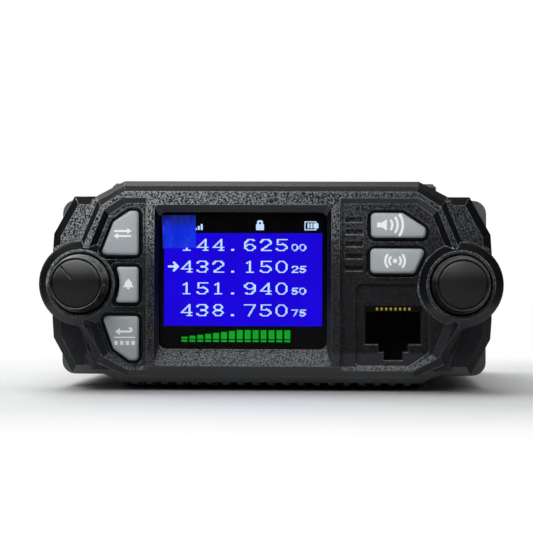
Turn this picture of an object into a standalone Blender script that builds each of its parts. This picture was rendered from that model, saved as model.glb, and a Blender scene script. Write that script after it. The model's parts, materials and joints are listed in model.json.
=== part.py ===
"""A compact mobile two-way radio: plastic front bezel with two knobs, five keys, a colour
display and a microphone socket, on a finned die-cast chassis with a raised top cover.

Sizes below are millimetres. x runs to the right, y from the front face to the rear, z up.
"""

import math

import bmesh
import bpy
from mathutils import Matrix, Vector

MM = 0.001

# ---------------------------------------------------------------- driving dimensions
FACE_Y = -54.0  # the bezel's front face in the world, so that y = 0 is mid body
BEZEL_DEPTH = 20.0
BEZEL_FOOT = 0.9  # the bezel clears the floor by this much
BODY_REAR = 117.0  # rear wall of the chassis, behind the front face
JOINT_GAP = 0.2

TOP_Z = 46.0  # top of the bezel
SHOULDER_Z = 42.6  # top of the bezel's two lower shoulders
FOOT_Z = 3.4  # underside of the shoulders
CENTRE_HALF = 32.6
NOTCH_HALF = 39.0
WING_HALF = 48.8

KNOB_X = 41.7
KNOB_Z = 23.2
KNOB_PROUD = 9.0  # how far a knob stands in front of the face
KNOB_RADIUS = 6.4
KNOB_FACE_RADIUS = 5.8
KNOB_TAIL = 2.0
KNOB_FLUTES = 14
BOSS_RADIUS = 9.4
BOSS_RIM = 7.7
WELL_RADIUS = 6.8
WELL_DEPTH = 3.2
SHAFT_RADIUS = 2.95
POINTER_ANGLE = math.radians(132)

FIELD_DEPTH = 1.2  # the two key fields are sunk this far into the face
FRONT_WALL = 3.4  # back of the front wall
WING_CAVITY_Y = 6.8
BOARD_Y = 15.2
BOARD_THICK = 1.6
KEY_GAP = 0.55
KEY_PROUD = 0.35
KEY_TRAVEL = 0.6
MAT_DOME_Y = 13.0

GROOVE_PITCH = 3.36
GROOVE_WIDTH = 1.9
GROOVE_PAIRS = 10

CHASSIS_HALF = 48.3
CHASSIS_LOW = 2.6
CHASSIS_HIGH = 42.4
CHASSIS_CORNER = 3.0
CHASSIS_WALL = 4.0
REAR_WALL = 3.2
SCREW_BORE = 1.1
FLOOR_TOP = 6.6
COVER_HALF = 36.9
COVER_TOP = 46.2
COVER_WALL = 1.6
BRACKET_Y = (38.0, 72.0)  # the mounting bracket's two screw holes in each side
BRACKET_Z = 22.4
RIB_Y = (86.0, 91.0, 96.0, 101.0, 106.0)  # cooling grooves in each side
SPEAKER_Y = 62.0
SPEAKER_RADIUS = 18.0

FAN_Z = 22.4
FAN_SIZE = 30.0
FAN_HOLE = 12.0
FAN_DUCT = 13.5
FAN_FRONT_Y = 102.8
FAN_DEPTH = 10.4
ANTENNA_X = 31.0
CABLE_X = -31.0
CABLE_Z = 13.0
JACK_Z = 31.0
WIRE_OFFSET = 1.75  # each supply wire from the lead's middle
WIRE_RADIUS = 1.4
PLUG_Y = BODY_REAR + 24.0
PLUG_Z = 6.5
PLUG_SPREAD = 1.7  # how much further apart the wires are at the plug

FINE = 48
ROUND = 32
SMALL = 16
COARSE = 10

# ---------------------------------------------------------------- outlines, right half, top to bottom
PLATEAU = [(32.0, 43.5), (37.3, 40.3), (41.0, 31.8), (41.0, 14.1), (37.2, 8.0), (31.2, 5.2)]
CORE = [
    (CENTRE_HALF, TOP_Z), (NOTCH_HALF, SHOULDER_Z), (42.6, 33.0), (42.6, 13.7), (38.7, 3.8),
    (31.8, BEZEL_FOOT),
]
WING = [
    (30.0, SHOULDER_Z), (43.8, SHOULDER_Z), (48.5, 34.3), (WING_HALF, 30.0),
    (WING_HALF, 15.5), (48.5, 11.2), (44.1, FOOT_Z), (30.0, FOOT_Z),
]
WING_FACE = [
    (30.0, 40.7), (42.7, 40.7), (46.7, 33.7), (46.9, 30.0),
    (46.9, 15.5), (46.7, 11.8), (43.1, 5.1), (30.0, 5.1),
]
COLLAR = [
    (30.0, 41.6), (39.4, 41.6), (40.5, 37.6), (41.3, 35.2), (42.5, 32.9), (46.2, 31.6), (48.4, 31.0),
    (48.4, 17.0), (44.6, 15.8), (42.9, 14.9), (41.7, 13.2), (40.8, 9.7), (39.2, 4.2), (30.0, 4.2),
]
FIELD_RIM = [(32.6, 42.1), (36.6, 39.5), (40.2, 30.6), (40.2, 15.5), (37.0, 6.5), (31.9, 3.3)]
FIELD_FLOOR = [(31.9, 40.9), (35.5, 38.4), (38.6, 30.8), (38.6, 15.2), (35.6, 8.0), (30.8, 5.1)]
FIELD_LEFT_EDGE = -27.2
FIELD_RIGHT_EDGE = 15.3
WIDE_CAVITY = [
    (31.0, 43.2), (37.6, 40.1), (42.4, 40.1), (46.0, 33.6), (46.2, 30.0),
    (46.2, 15.5), (46.0, 11.9), (42.6, 5.3), (38.0, 5.3), (31.0, 2.6),
]
FRONT_CAVITY = [(35.0, 41.2), (38.4, 35.6), (39.6, 31.0), (39.6, 14.6), (38.0, 9.4), (34.6, 5.4)]
FRONT_BOARD = [(35.0, 39.5), (35.0, 35.4), (44.2, 35.4), (44.2, 10.2), (35.0, 10.2), (35.0, 6.2)]

WINDOW_RIM = (-25.5, 5.35, 13.4, 40.6)
WINDOW_THROAT = (-24.7, 8.85, 12.4, 39.1)

# Keys: outline corners and the point where the key's stem stands.
MEMORY_KEY = [(-30.9, 39.2), (-28.95, 39.2), (-28.95, 29.5), (-37.3, 29.5), (-34.5, 36.8)]
EXIT_KEY = [(-36.9, 16.1), (-28.85, 16.1), (-28.85, 6.4), (-30.9, 6.4), (-34.4, 8.9)]
MONITOR_KEY = [(22.0, 38.9), (28.9, 38.9), (34.0, 35.6), (34.0, 33.5), (22.0, 33.5)]
BROADCAST_KEY = [(21.9, 31.1), (34.1, 31.1), (31.6, 25.7), (21.9, 25.7)]
CALL_ARC = 8.6

SOCKET_X = 27.0
SOCKET_HOLE = [
    (-6.3, 18.6), (6.3, 18.6), (6.3, 10.1), (3.3, 10.1), (3.3, 8.4), (2.1, 8.4),
    (2.1, 6.6), (-2.1, 6.6), (-2.1, 8.4), (-3.3, 8.4), (-3.3, 10.1), (-6.3, 10.1),
]
SOCKET_THROAT = [
    (-5.95, 17.2), (5.95, 17.2), (5.95, 10.3), (3.1, 10.3), (3.1, 8.6), (1.95, 8.6),
    (1.95, 6.8), (-1.95, 6.8), (-1.95, 8.6), (-3.1, 8.6), (-3.1, 10.3), (-5.95, 10.3),
]
POCKET = [(18.6, 23.5), (34.8, 23.5), (34.8, 8.2), (30.4, 5.3), (18.6, 5.3)]
POCKET_DEPTH = 2.0
CONTACT_PITCH = 1.02
CONTACT_COUNT = 8

root = None


# ---------------------------------------------------------------- modelling helpers
def clear_scene():
    for obj in list(bpy.data.objects):
        bpy.data.objects.remove(obj)


def material(name, colour, roughness, metallic=0.0, alpha=1.0):
    made = bpy.data.materials.get(name)
    if made:
        return made
    made = bpy.data.materials.new(name)
    made.use_nodes = True
    shader = made.node_tree.nodes["Principled BSDF"]
    shader.inputs["Base Color"].default_value = (*colour, 1.0)
    shader.inputs["Roughness"].default_value = roughness
    shader.inputs["Metallic"].default_value = metallic
    shader.inputs["Alpha"].default_value = alpha
    return made


def from_bmesh(name, bm):
    """A scene object from a bmesh in millimetres, with its faces pointing out."""
    bmesh.ops.remove_doubles(bm, verts=bm.verts, dist=1e-4)
    bmesh.ops.recalc_face_normals(bm, faces=bm.faces)
    bmesh.ops.scale(bm, vec=(MM, MM, MM), verts=bm.verts)
    mesh = bpy.data.meshes.new(name)
    bm.to_mesh(mesh)
    bm.free()
    obj = bpy.data.objects.new(name, mesh)
    bpy.context.scene.collection.objects.link(obj)
    return obj


def loft(name, rings):
    """A closed solid through rings of (x, y, z) points, all with the same number of points."""
    bm = bmesh.new()
    loops = [[bm.verts.new(point) for point in ring] for ring in rings]
    count = len(loops[0])
    for near, far in zip(loops, loops[1:]):
        for i in range(count):
            j = (i + 1) % count
            bm.faces.new((near[i], near[j], far[j], far[i]))
    bm.faces.new(loops[0])
    bm.faces.new(loops[-1])
    return from_bmesh(name, bm)


def at_depth(outline, y):
    return [(x, y, z) for x, z in outline]


def prism(name, outline, y0, y1):
    """An (x, z) outline carried from y0 to y1."""
    return loft(name, [at_depth(outline, y0), at_depth(outline, y1)])


def box(name, low, high):
    outline = [(low[0], low[2]), (high[0], low[2]), (high[0], high[2]), (low[0], high[2])]
    return prism(name, outline, low[1], high[1])


def turned(name, centre, profile, segments, axis="Y", closed=False, phase=0.0):
    """A profile of (radius, height) points turned about an axis through centre.

    A closed profile makes a ring; an open one starts and ends on the axis.
    """
    bm = bmesh.new()
    loops = []
    for radius, height in profile:
        if radius < 1e-6:
            loops.append([bm.verts.new(place(0.0, height, 0.0, centre, axis))])
            continue
        loop = []
        for k in range(segments):
            angle = phase + 2 * math.pi * k / segments
            u, v = radius * math.cos(angle), radius * math.sin(angle)
            loop.append(bm.verts.new(place(u, height, v, centre, axis)))
        loops.append(loop)
    pairs = list(zip(loops, loops[1:]))
    if closed:
        pairs.append((loops[-1], loops[0]))
    for near, far in pairs:
        for k in range(segments):
            m = (k + 1) % segments
            corners = []
            ends = (near[k % len(near)], near[m % len(near)], far[m % len(far)], far[k % len(far)])
            for vert in ends:
                if vert not in corners:
                    corners.append(vert)
            if len(corners) > 2:
                bm.faces.new(corners)
    return from_bmesh(name, bm)


def place(u, height, v, centre, axis):
    """A point beside the turning axis, in the model's own directions."""
    offsets = {"Y": (u, height, v), "Z": (u, v, height), "X": (height, u, v)}[axis]
    return tuple(c + o for c, o in zip(centre, offsets))


def rod(name, centre, radius, h0, h1, segments=SMALL, axis="Y", phase=0.0):
    """A plain cylinder from h0 to h1 along its axis."""
    profile = [(0.0, h0), (radius, h0), (radius, h1), (0.0, h1)]
    return turned(name, centre, profile, segments, axis, phase=phase)


def ring(name, centre, inner, outer, h0, h1, segments=ROUND, axis="Y"):
    profile = [(inner, h0), (outer, h0), (outer, h1), (inner, h1)]
    return turned(name, centre, profile, segments, axis, closed=True)


def boolean(target, tools, operation):
    for tool in tools:
        modifier = target.modifiers.new(operation.title(), "BOOLEAN")
        modifier.operation = operation
        modifier.solver = "EXACT"
        modifier.object = tool
    graph = bpy.context.evaluated_depsgraph_get()
    mesh = bpy.data.meshes.new_from_object(target.evaluated_get(graph))
    target.modifiers.clear()
    target.data = mesh
    for tool in tools:
        bpy.data.objects.remove(tool)
    return target


def cut(target, *tools):
    return boolean(target, tools, "DIFFERENCE")


def join(target, *tools):
    return boolean(target, tools, "UNION")


def finish(obj, finish_material, origin=(0.0, 0.0, 0.0)):
    """Gives obj its material, its origin in millimetres, and its place under the radio."""
    offset = Vector(origin) * MM
    obj.data.transform(Matrix.Translation(-offset))
    obj.location = offset
    obj.data.materials.clear()
    obj.data.materials.append(finish_material)
    obj.data.shade_smooth()
    obj.data.set_sharp_from_angle(angle=math.radians(30))
    obj.parent = root
    return obj


# ---------------------------------------------------------------- outline helpers
def mirrored(right_half):
    """The whole outline from its right half, which runs from top to bottom."""
    return right_half + [(-x, z) for x, z in reversed(right_half)]


def between(first, second, share):
    """The outline that lies share of the way from the first to the second."""
    return [
        (a[0] + (b[0] - a[0]) * share, a[1] + (b[1] - a[1]) * share) for a, b in zip(first, second)
    ]


def signed_area(points):
    pairs = zip(points, points[1:] + points[:1])
    return sum(a[0] * b[1] - b[0] * a[1] for a, b in pairs) / 2


def grown(points, distance):
    """The outline with every edge moved outwards by distance."""
    side = 1.0 if signed_area(points) > 0 else -1.0
    lines = []
    for a, b in zip(points, points[1:] + points[:1]):
        along = (Vector(b) - Vector(a)).normalized()
        normal = Vector((along.y, -along.x)) * side
        lines.append((Vector(a) + normal * distance, along))
    corners = []
    for (p, d), (q, e) in zip(lines[-1:] + lines[:-1], lines):
        turn = d.x * e.y - d.y * e.x
        t = ((q.x - p.x) * e.y - (q.y - p.y) * e.x) / turn if abs(turn) > 1e-6 else 0.0
        corners.append(tuple(p + d * t) if abs(turn) > 1e-6 else tuple(q))
    return corners


def rounded(points, radius, steps=3, least_turn=20.0):
    """The outline with each real corner replaced by an arc."""
    made = []
    count = len(points)
    for i, corner in enumerate(points):
        here = Vector(corner)
        back = Vector(points[i - 1]) - here
        ahead = Vector(points[(i + 1) % count]) - here
        opening = back.angle(ahead)
        if math.pi - opening < math.radians(least_turn):
            made.append(corner)
            continue
        reach = min(radius / math.tan(opening / 2), back.length * 0.48, ahead.length * 0.48)
        fit = reach * math.tan(opening / 2)
        middle = (back.normalized() + ahead.normalized()).normalized()
        centre = here + middle * (fit / math.sin(opening / 2))
        start = here + back.normalized() * reach - centre
        sweep = math.pi - opening
        sign = 1.0 if back.x * ahead.y - back.y * ahead.x < 0 else -1.0
        for k in range(steps + 1):
            turn = Matrix.Rotation(sign * sweep * k / steps, 2)
            made.append(tuple(centre + turn @ start))
    return made


def shifted(points, dx, dz=0.0):
    return [(x + dx, z + dz) for x, z in points]


def spun(points, degrees):
    turn = Matrix.Rotation(math.radians(degrees), 2)
    return [tuple(turn @ Vector(point)) for point in points]


def rectangle(x0, z0, x1, z1):
    return [(x0, z0), (x1, z0), (x1, z1), (x0, z1)]


def call_key():
    """The middle key, whose left side follows the circle round the volume knob."""
    low, high, right, steps = 19.1, 26.9, -28.95, 5
    first = math.asin((low - KNOB_Z) / CALL_ARC)
    last = math.asin((high - KNOB_Z) / CALL_ARC)
    arc = []
    for k in range(steps + 1):
        angle = first + (last - first) * k / steps
        arc.append((-KNOB_X + CALL_ARC * math.cos(angle), KNOB_Z + CALL_ARC * math.sin(angle)))
    return [(right, high), (right, low)] + arc


# ---------------------------------------------------------------- front bezel
def lean(x):
    """How far back the shoulder's front face lies, towards its outer edge."""
    return 2.8 + 0.2 * max(0.0, x - 36.0)


def wing(side):
    """One side shoulder, whose front face leans back towards its outer edge."""
    front = [(side * x, lean(x), z) for x, z in WING_FACE]
    edge = [(side * x, lean(x) + 1.6, z) for x, z in WING]
    back = [(side * x, BEZEL_DEPTH, z) for x, z in WING]
    return loft("wing", [front, edge, back])


def collar(side):
    """The raised web that joins a shoulder to the centre block and runs round the knob boss."""
    near = [(side * x, lean(x) - 0.9, z) for x, z in COLLAR]
    far = [(side * min(x, 48.4), lean(x) + 0.5, z) for x, z in grown(COLLAR, 0.35)]
    inner = [(side * min(x, 47.0), 11.0, z) for x, z in COLLAR]
    return loft("collar", [near, far, inner])


def knob_boss(side):
    centre = (side * KNOB_X, 0.0, KNOB_Z)
    profile = [
        (0.0, -0.5), (BOSS_RIM - 0.2, -0.5), (BOSS_RIM, -0.3), (BOSS_RADIUS - 0.4, 0.9),
        (BOSS_RADIUS, 1.5), (BOSS_RADIUS, 15.0), (6.0, BEZEL_DEPTH), (0.0, BEZEL_DEPTH),
    ]
    return turned("boss", centre, profile, FINE)


def knob_well(side):
    centre = (side * KNOB_X, 0.0, KNOB_Z)
    profile = [
        (0.0, -2.0), (WELL_RADIUS + 0.25, -2.0), (WELL_RADIUS + 0.25, -0.5), (WELL_RADIUS, -0.2),
        (WELL_RADIUS, WELL_DEPTH), (3.6, WELL_DEPTH), (3.6, WING_CAVITY_Y + 1.0),
        (0.0, WING_CAVITY_Y + 1.0),
    ]
    return turned("well", centre, profile, FINE)


def key_field(inner_edge, side):
    """The sunk area round the keys on one side, with sloping outer walls."""
    def outline(half, edge):
        points = [(side * x, z) for x, z in half]
        return [(edge, points[0][1])] + points + [(edge, points[-1][1])]

    rim = outline(FIELD_RIM, inner_edge)
    floor = outline(FIELD_FLOOR, inner_edge + side * 0.2)
    above = between(floor, rim, 2.0)
    return loft("field", [at_depth(above, -FIELD_DEPTH), at_depth(rim, 0.0), at_depth(floor, FIELD_DEPTH)])


def window_cutter():
    rim = rounded(rectangle(*WINDOW_RIM), 1.0)
    throat = rounded(rectangle(*WINDOW_THROAT), 1.6)
    above = between(throat, rim, 1.4)
    deep = FRONT_WALL - 0.3
    return loft("window", [
        at_depth(above, -0.4 * deep), at_depth(rim, 0.0), at_depth(throat, deep),
        at_depth(throat, FRONT_WALL + 2.0),
    ])


def key_hole(outline, radius):
    """A key's opening, with a small lead-in round its mouth."""
    wide = rounded(grown(outline, KEY_GAP + 0.4), radius + KEY_GAP + 0.4)
    narrow = rounded(grown(outline, KEY_GAP), radius + KEY_GAP)
    return loft("hole", [
        at_depth(wide, -2.0), at_depth(wide, FIELD_DEPTH - 0.1), at_depth(narrow, FIELD_DEPTH + 0.5),
        at_depth(narrow, FRONT_WALL + 1.0),
    ])


def front_cavity():
    """The hollow behind the front wall, kept clear of the two knob wells."""
    cavity = prism("cavity", mirrored(FRONT_CAVITY), FRONT_WALL, WING_CAVITY_Y + 2.0)
    for side in (-1, 1):
        centre = (side * KNOB_X, 0.0, KNOB_Z)
        cut(cavity, rod("keep", centre, 8.0, 0.0, WING_CAVITY_Y + 4.0, ROUND))
    return cavity


def grooves(y0, y1, depth):
    """The lengthwise grooves under the body, as one cutter for each."""
    made = []
    for side in (-1, 1):
        for k in range(GROOVE_PAIRS):
            x = side * (k + 0.5) * GROOVE_PITCH
            half = GROOVE_WIDTH / 2
            made.append(box("groove", (x - half, y0, -1.0), (x + half, y1, depth)))
    return made


def countersunk(centre, surface, way, depth, bore=1.25):
    """A cutter for a screw: a bore of the given depth under a round seat for the head."""
    seat = surface - way * 0.9
    profile = [
        (0.0, surface + way), (2.4, surface + way), (2.4, seat), (bore, seat),
        (bore, surface - way * depth), (0.0, surface - way * depth),
    ]
    return turned("seat", centre, profile, SMALL, "Z")


def bezel_screw_places():
    """(x, y, direction) of the four screws through the bezel's shoulders."""
    return [(side * 40.9, 15.5, way) for side in (-1, 1) for way in (1, -1)]


def sound_slots():
    """Five short grooves beside the right-hand keys."""
    made = []
    for k in range(5):
        z = 37.5 - 2.67 * k
        rim = rectangle(16.3, z - 0.65, 20.3, z + 0.65)
        made.append(prism("slot", rim, FIELD_DEPTH - 1.0, FIELD_DEPTH + 0.9))
    return made


def front_bezel():
    core_outline = mirrored(CORE)
    plateau = mirrored(PLATEAU)
    core = loft("front_bezel", [
        at_depth(plateau, 0.0), at_depth(between(plateau, core_outline, 0.5), 1.7),
        at_depth(core_outline, 5.8), at_depth(core_outline, BEZEL_DEPTH),
    ])
    cut(core, key_field(FIELD_LEFT_EDGE, -1), key_field(FIELD_RIGHT_EDGE, 1))
    join(core, wing(-1), wing(1), collar(-1), collar(1), knob_boss(-1), knob_boss(1))
    cut(core, knob_well(-1), knob_well(1), window_cutter())
    cut(core, prism("rear", mirrored(WIDE_CAVITY), WING_CAVITY_Y, BEZEL_DEPTH + 1.0), front_cavity())
    pocket = prism("pocket", rounded(POCKET, 1.3), FIELD_DEPTH - 0.6, POCKET_DEPTH)
    cut(pocket, rod("keep", (KNOB_X, 0.0, KNOB_Z), BOSS_RADIUS + 0.1, -2.0, 4.0, FINE))
    cut(core, pocket)
    socket = prism("socket", shifted(SOCKET_HOLE, SOCKET_X), 0.0, FRONT_WALL + 1.0)
    holes = [key_hole(outline, radius) for outline, radius in key_outlines().values()]
    cut(core, socket, *holes)
    cut(core, *sound_slots())
    cut(core, *grooves(-1.0, BEZEL_DEPTH + 1.0, BEZEL_FOOT + 0.55))
    for x, y, way in bezel_screw_places():
        cut(core, countersunk((x, y, 0.0), SHOULDER_Z if way > 0 else FOOT_Z, way, 3.0))
    return finish(core, BLACK_PLASTIC)


# ---------------------------------------------------------------- keys
def key_outlines():
    """Each key's outline and corner radius, by node name."""
    return {
        "memory_key": (MEMORY_KEY, 0.8),
        "call_key": (call_key(), 0.7),
        "exit_key": (EXIT_KEY, 0.8),
        "monitor_key": (MONITOR_KEY, 0.9),
        "broadcast_key": (BROADCAST_KEY, 0.9),
    }


STEMS = {
    "memory_key": (-31.8, 33.6),
    "call_key": (-31.0, KNOB_Z),
    "exit_key": (-31.8, 12.0),
    "monitor_key": (27.2, 36.2),
    "broadcast_key": (27.2, 28.4),
}


def key(name):
    """A keytop with a softened edge, a retaining flange and a stem that reaches its dome."""
    outline, radius = key_outlines()[name]
    x, z = STEMS[name]
    shape = rounded(outline, radius)
    top = rounded(grown(outline, -0.35), radius)
    keytop = loft(name, [
        at_depth(top, -KEY_PROUD), at_depth(shape, 0.1), at_depth(shape, FRONT_WALL + 0.9),
    ])
    flange = prism("flange", rounded(grown(outline, 0.9), radius), FRONT_WALL + 0.3, FRONT_WALL + 1.2)
    clear_of_well = rod("keep", (math.copysign(KNOB_X, x), 0.0, KNOB_Z), 8.3, 0.0, WING_CAVITY_Y, ROUND)
    cut(flange, clear_of_well)
    stem_end = MAT_DOME_Y - KEY_TRAVEL - 0.05
    stem = rod("stem", (x, 0.0, z), 1.6, FRONT_WALL + 0.6, stem_end, SMALL)
    join(keytop, flange, stem)
    return finish(keytop, GREY_KEYTOP, (x, 0.0, z))


def keypad_mat(name, keys):
    """A silicone mat lying on the front board, with a dome under each key."""
    places = [STEMS[k] for k in keys]
    xs, zs = [p[0] for p in places], [p[1] for p in places]
    low, high = (min(xs) - 3.0, min(zs) - 3.2), (max(xs) + 3.0, max(zs) + 3.2)
    mat = prism(name, rounded(rectangle(*low, *high), 1.2), BOARD_Y - 1.1, BOARD_Y - 0.2)
    domes = []
    for x, z in places:
        profile = [(0.0, MAT_DOME_Y), (1.5, MAT_DOME_Y), (2.6, BOARD_Y - 0.9), (0.0, BOARD_Y - 0.9)]
        domes.append(turned("dome", (x, 0.0, z), profile, SMALL))
    return finish(join(mat, *domes), DARK_RUBBER)


# ---------------------------------------------------------------- knobs and their controls
def knob_profile():
    front = -KNOB_PROUD
    return [
        (0.0, front), (3.0, front + 0.06), (4.7, front + 0.25), (5.25, front + 0.55), (5.25, front + 0.85),
        (5.45, front + 0.85), (5.5, front + 0.45), (5.65, front + 0.4), (KNOB_FACE_RADIUS, front + 0.7),
        (6.0, -3.2), (KNOB_RADIUS, -1.8), (KNOB_RADIUS, KNOB_TAIL), (3.15, KNOB_TAIL), (3.15, -6.4),
        (0.0, -6.4),
    ]


def knob(name, side, pointer):
    """A tapered knob with shallow grip flutes round its side, bored for its shaft."""
    centre = (side * KNOB_X, 0.0, KNOB_Z)
    body = turned(name, centre, knob_profile(), FINE)
    flutes = []
    for k in range(KNOB_FLUTES):
        angle = 2 * math.pi * (k + 0.5) / KNOB_FLUTES
        reach = KNOB_FACE_RADIUS + 1.62
        x = centre[0] + reach * math.cos(angle)
        z = centre[2] + reach * math.sin(angle)
        flutes.append(rod("flute", (x, 0.0, z), 1.5, -KNOB_PROUD + 1.4, -2.4, 12))
    cut(body, *flutes)
    if pointer:
        cut(body, pointer_groove(centre))
    return finish(body, KNOB_PLASTIC, centre)


def pointer_groove(centre):
    """The pointer on the volume knob: a shallow V from near its middle out to its rim."""
    half, deep, front = 0.5, 0.5, -KNOB_PROUD
    along = Vector((math.cos(POINTER_ANGLE), 0.0, math.sin(POINTER_ANGLE)))
    across = Vector((-along.z, 0.0, along.x))
    rings = []
    for distance, dome in ((1.3, -0.05), (3.4, 0.02), (5.2, 0.4)):
        start = Vector(centre) + along * distance + Vector((0.0, front + dome, 0.0))
        section = [(-half, -0.1), (half, -0.1), (0.0, deep)]
        rings.append([tuple(start + across * u + Vector((0.0, y, 0.0))) for u, y in section])
    return loft("pointer", rings)


def control(prefix, side, body_name):
    """A knob's shaft, its push plunger and the bored body that both run in."""
    centre = (side * KNOB_X, 0.0, KNOB_Z)
    shaft = rod(prefix + "_shaft", centre, SHAFT_RADIUS, -6.2, 10.5, ROUND)
    cut(shaft, box("flat", (centre[0] - 4, -7.0, KNOB_Z + 1.9), (centre[0] + 4, 1.0, KNOB_Z + 4)))
    finish(shaft, BARE_STEEL, centre)
    plunger = turned(prefix + "_plunger", centre, [
        (0.0, 10.7), (2.6, 10.7), (2.6, 12.6), (1.6, 12.6), (1.6, 14.3), (0.0, 14.3),
    ], ROUND)
    finish(plunger, BLACK_PLASTIC, centre)
    outline = rounded(rectangle(centre[0] - 4.3, KNOB_Z - 5.2, centre[0] + 4.3, KNOB_Z + 5.2), 0.6)
    body = prism(body_name, outline, 7.2, 14.9)
    cut(body, rod("bore", centre, 3.3, 6.0, 16.0, ROUND))
    finish(body, BARE_STEEL, centre)


# ---------------------------------------------------------------- display and front board
def display():
    outline = rounded(rectangle(-26.6, 6.9, 14.2, 40.7), 1.0)
    lens = prism("display_lens", outline, FRONT_WALL + 0.15, FRONT_WALL + 1.1)
    finish(lens, CLEAR_LENS)
    panel = box("display_panel", (-26.0, 4.8, 7.8), (13.6, 6.2, 40.4))
    finish(panel, DISPLAY_GLASS)
    tray = box("display_tray", (-27.3, 6.5, 6.6), (14.8, 9.6, 41.0))
    cut(tray, box("hollow", (-25.8, 8.0, 8.1), (13.3, 10.0, 39.5)))
    finish(tray, WHITE_PLASTIC)


def front_board():
    board = prism("front_board", mirrored(FRONT_BOARD), BOARD_Y, BOARD_Y + BOARD_THICK)
    return finish(board, GREEN_BOARD)


def contact_places():
    return [SOCKET_X + (k - (CONTACT_COUNT - 1) / 2) * CONTACT_PITCH for k in range(CONTACT_COUNT)]


def mic_jack():
    """The eight-way microphone socket and its row of spring contacts."""
    front = POCKET_DEPTH + 1.6
    housing = box("mic_jack_housing", (SOCKET_X - 7.3, front, 5.8), (SOCKET_X + 7.3, BOARD_Y - 0.2, 19.5))
    throat = shifted(SOCKET_THROAT, SOCKET_X)
    cut(housing, prism("throat", throat, front - 1.0, BOARD_Y - 2.0))
    half = CONTACT_PITCH * (CONTACT_COUNT - 1) / 2 + 0.6
    slots = [box("comb", (SOCKET_X - half, front + 2.6, 17.0), (SOCKET_X + half, BOARD_Y - 3.4, 18.6))]
    for x in contact_places():
        slots.append(box("slot", (x - 0.35, front - 1.0, 16.8), (x + 0.35, front + 3.0, 18.5)))
    cut(housing, *slots)
    finish(housing, BLACK_PLASTIC)
    low, high = SOCKET_X - half + 0.1, SOCKET_X + half - 0.1
    bar = box("mic_jack_contacts", (low, 10.2, 17.5), (high, 11.6, 18.3))
    finish(join(bar, *[spring_finger(x) for x in contact_places()]), GOLD)


def spring_finger(x):
    """One contact: it runs forward along the roof of the socket, then folds back down into it."""
    half = 0.22
    inner = ((10.4, 17.7), (5.4, 17.8), (4.75, 17.55), (4.7, 17.2), (8.6, 15.3))
    outer = ((10.4, 18.15), (5.4, 18.25), (4.4, 17.95), (4.25, 17.25), (8.4, 14.9))
    sections = []
    for near, far in zip(inner, outer):
        sections.append([(x - half, *near), (x + half, *near), (x + half, *far), (x - half, *far)])
    return loft("finger", sections)


# ---------------------------------------------------------------- chassis and cover
def cover_screw_places():
    return [(side * 32.0, y) for side in (-1, 1) for y in (28.0, 98.0)]


def board_screw_places():
    return [(side * 38.0, y) for side in (-1, 1) for y in (28.0, 98.0)]


def chassis():
    front = BEZEL_DEPTH + JOINT_GAP
    inside = CHASSIS_HALF - CHASSIS_WALL
    rear = BODY_REAR - REAR_WALL
    mouth_half = COVER_HALF - 2.0
    corners = rectangle(-CHASSIS_HALF, CHASSIS_LOW, CHASSIS_HALF, CHASSIS_HIGH)
    body = prism("chassis", rounded(corners, CHASSIS_CORNER, 5), front, BODY_REAR)
    plinth_half = GROOVE_PITCH * GROOVE_PAIRS + (GROOVE_PITCH - GROOVE_WIDTH) / 2
    join(body, box("plinth", (-plinth_half, front, 0.0), (plinth_half, BODY_REAR - 1.0, 4.0)))
    cut(
        body,
        box("hollow", (-inside, front - 1.0, FLOOR_TOP), (inside, rear, CHASSIS_HIGH - 3.0)),
        box("mouth", (-mouth_half, front - 1.0, CHASSIS_HIGH - 4.0), (mouth_half, rear - 1.6, COVER_TOP)),
    )
    join(body, *bezel_lugs(front))
    for x, y in cover_screw_places():
        x0, x1 = sorted((x - math.copysign(3.0, x), math.copysign(mouth_half + 1.0, x)))
        join(body, box("tab", (x0, y - 3.2, CHASSIS_HIGH - 3.6), (x1, y + 3.2, CHASSIS_HIGH - 0.3)))
    for x, y in board_screw_places():
        join(body, rod("post", (x, y, 0.0), 2.6, FLOOR_TOP - 1.0, 9.0, SMALL, "Z"))
    cut(body, *grooves(front - 1.0, BODY_REAR + 1.0, 3.0))
    cut(body, *screw_holes(), *side_cutters(inside), *rear_openings(rear))
    return finish(body, CAST_METAL)


def bezel_lugs(front):
    """Four lugs that reach forward into the bezel and take its screws."""
    lugs = []
    for x, y, way in bezel_screw_places():
        low, high = (36.3, 39.4) if way > 0 else (6.0, 9.1)
        x0, x1 = sorted((x - math.copysign(3.4, x), x + math.copysign(1.7, x)))
        lugs.append(box("lug", (x0, 11.8, low), (x1, front + 4.0, high)))
    return lugs


def screw_holes():
    holes = []
    for x, y, way in bezel_screw_places():
        low, high = (20.0, 41.0) if way > 0 else (3.0, 20.0)
        holes.append(rod("hole", (x, y, 0.0), SCREW_BORE, low, high, 12, "Z"))
    for x, y in cover_screw_places():
        holes.append(rod("hole", (x, y, 0.0), SCREW_BORE, CHASSIS_HIGH - 5.0, CHASSIS_HIGH + 1.0, 12, "Z"))
    for x, y in board_screw_places():
        holes.append(rod("hole", (x, y, 0.0), SCREW_BORE, 6.0, 10.0, 12, "Z"))
    return holes


def side_cutters(inside):
    """The bracket's screw holes and the upright cooling grooves in both sides."""
    made = []
    for side in (-1, 1):
        for y in BRACKET_Y:
            ends = sorted((side * (inside - 1.0), side * (CHASSIS_HALF + 1.0)))
            made.append(rod("hole", (0.0, y, BRACKET_Z), 1.7, *ends, SMALL, "X"))
        for y in RIB_Y:
            x0, x1 = sorted((side * (CHASSIS_HALF - 1.2), side * (CHASSIS_HALF + 1.0)))
            made.append(box("rib", (x0, y - 1.0, 9.0), (x1, y + 1.0, 36.0)))
    return made


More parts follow.
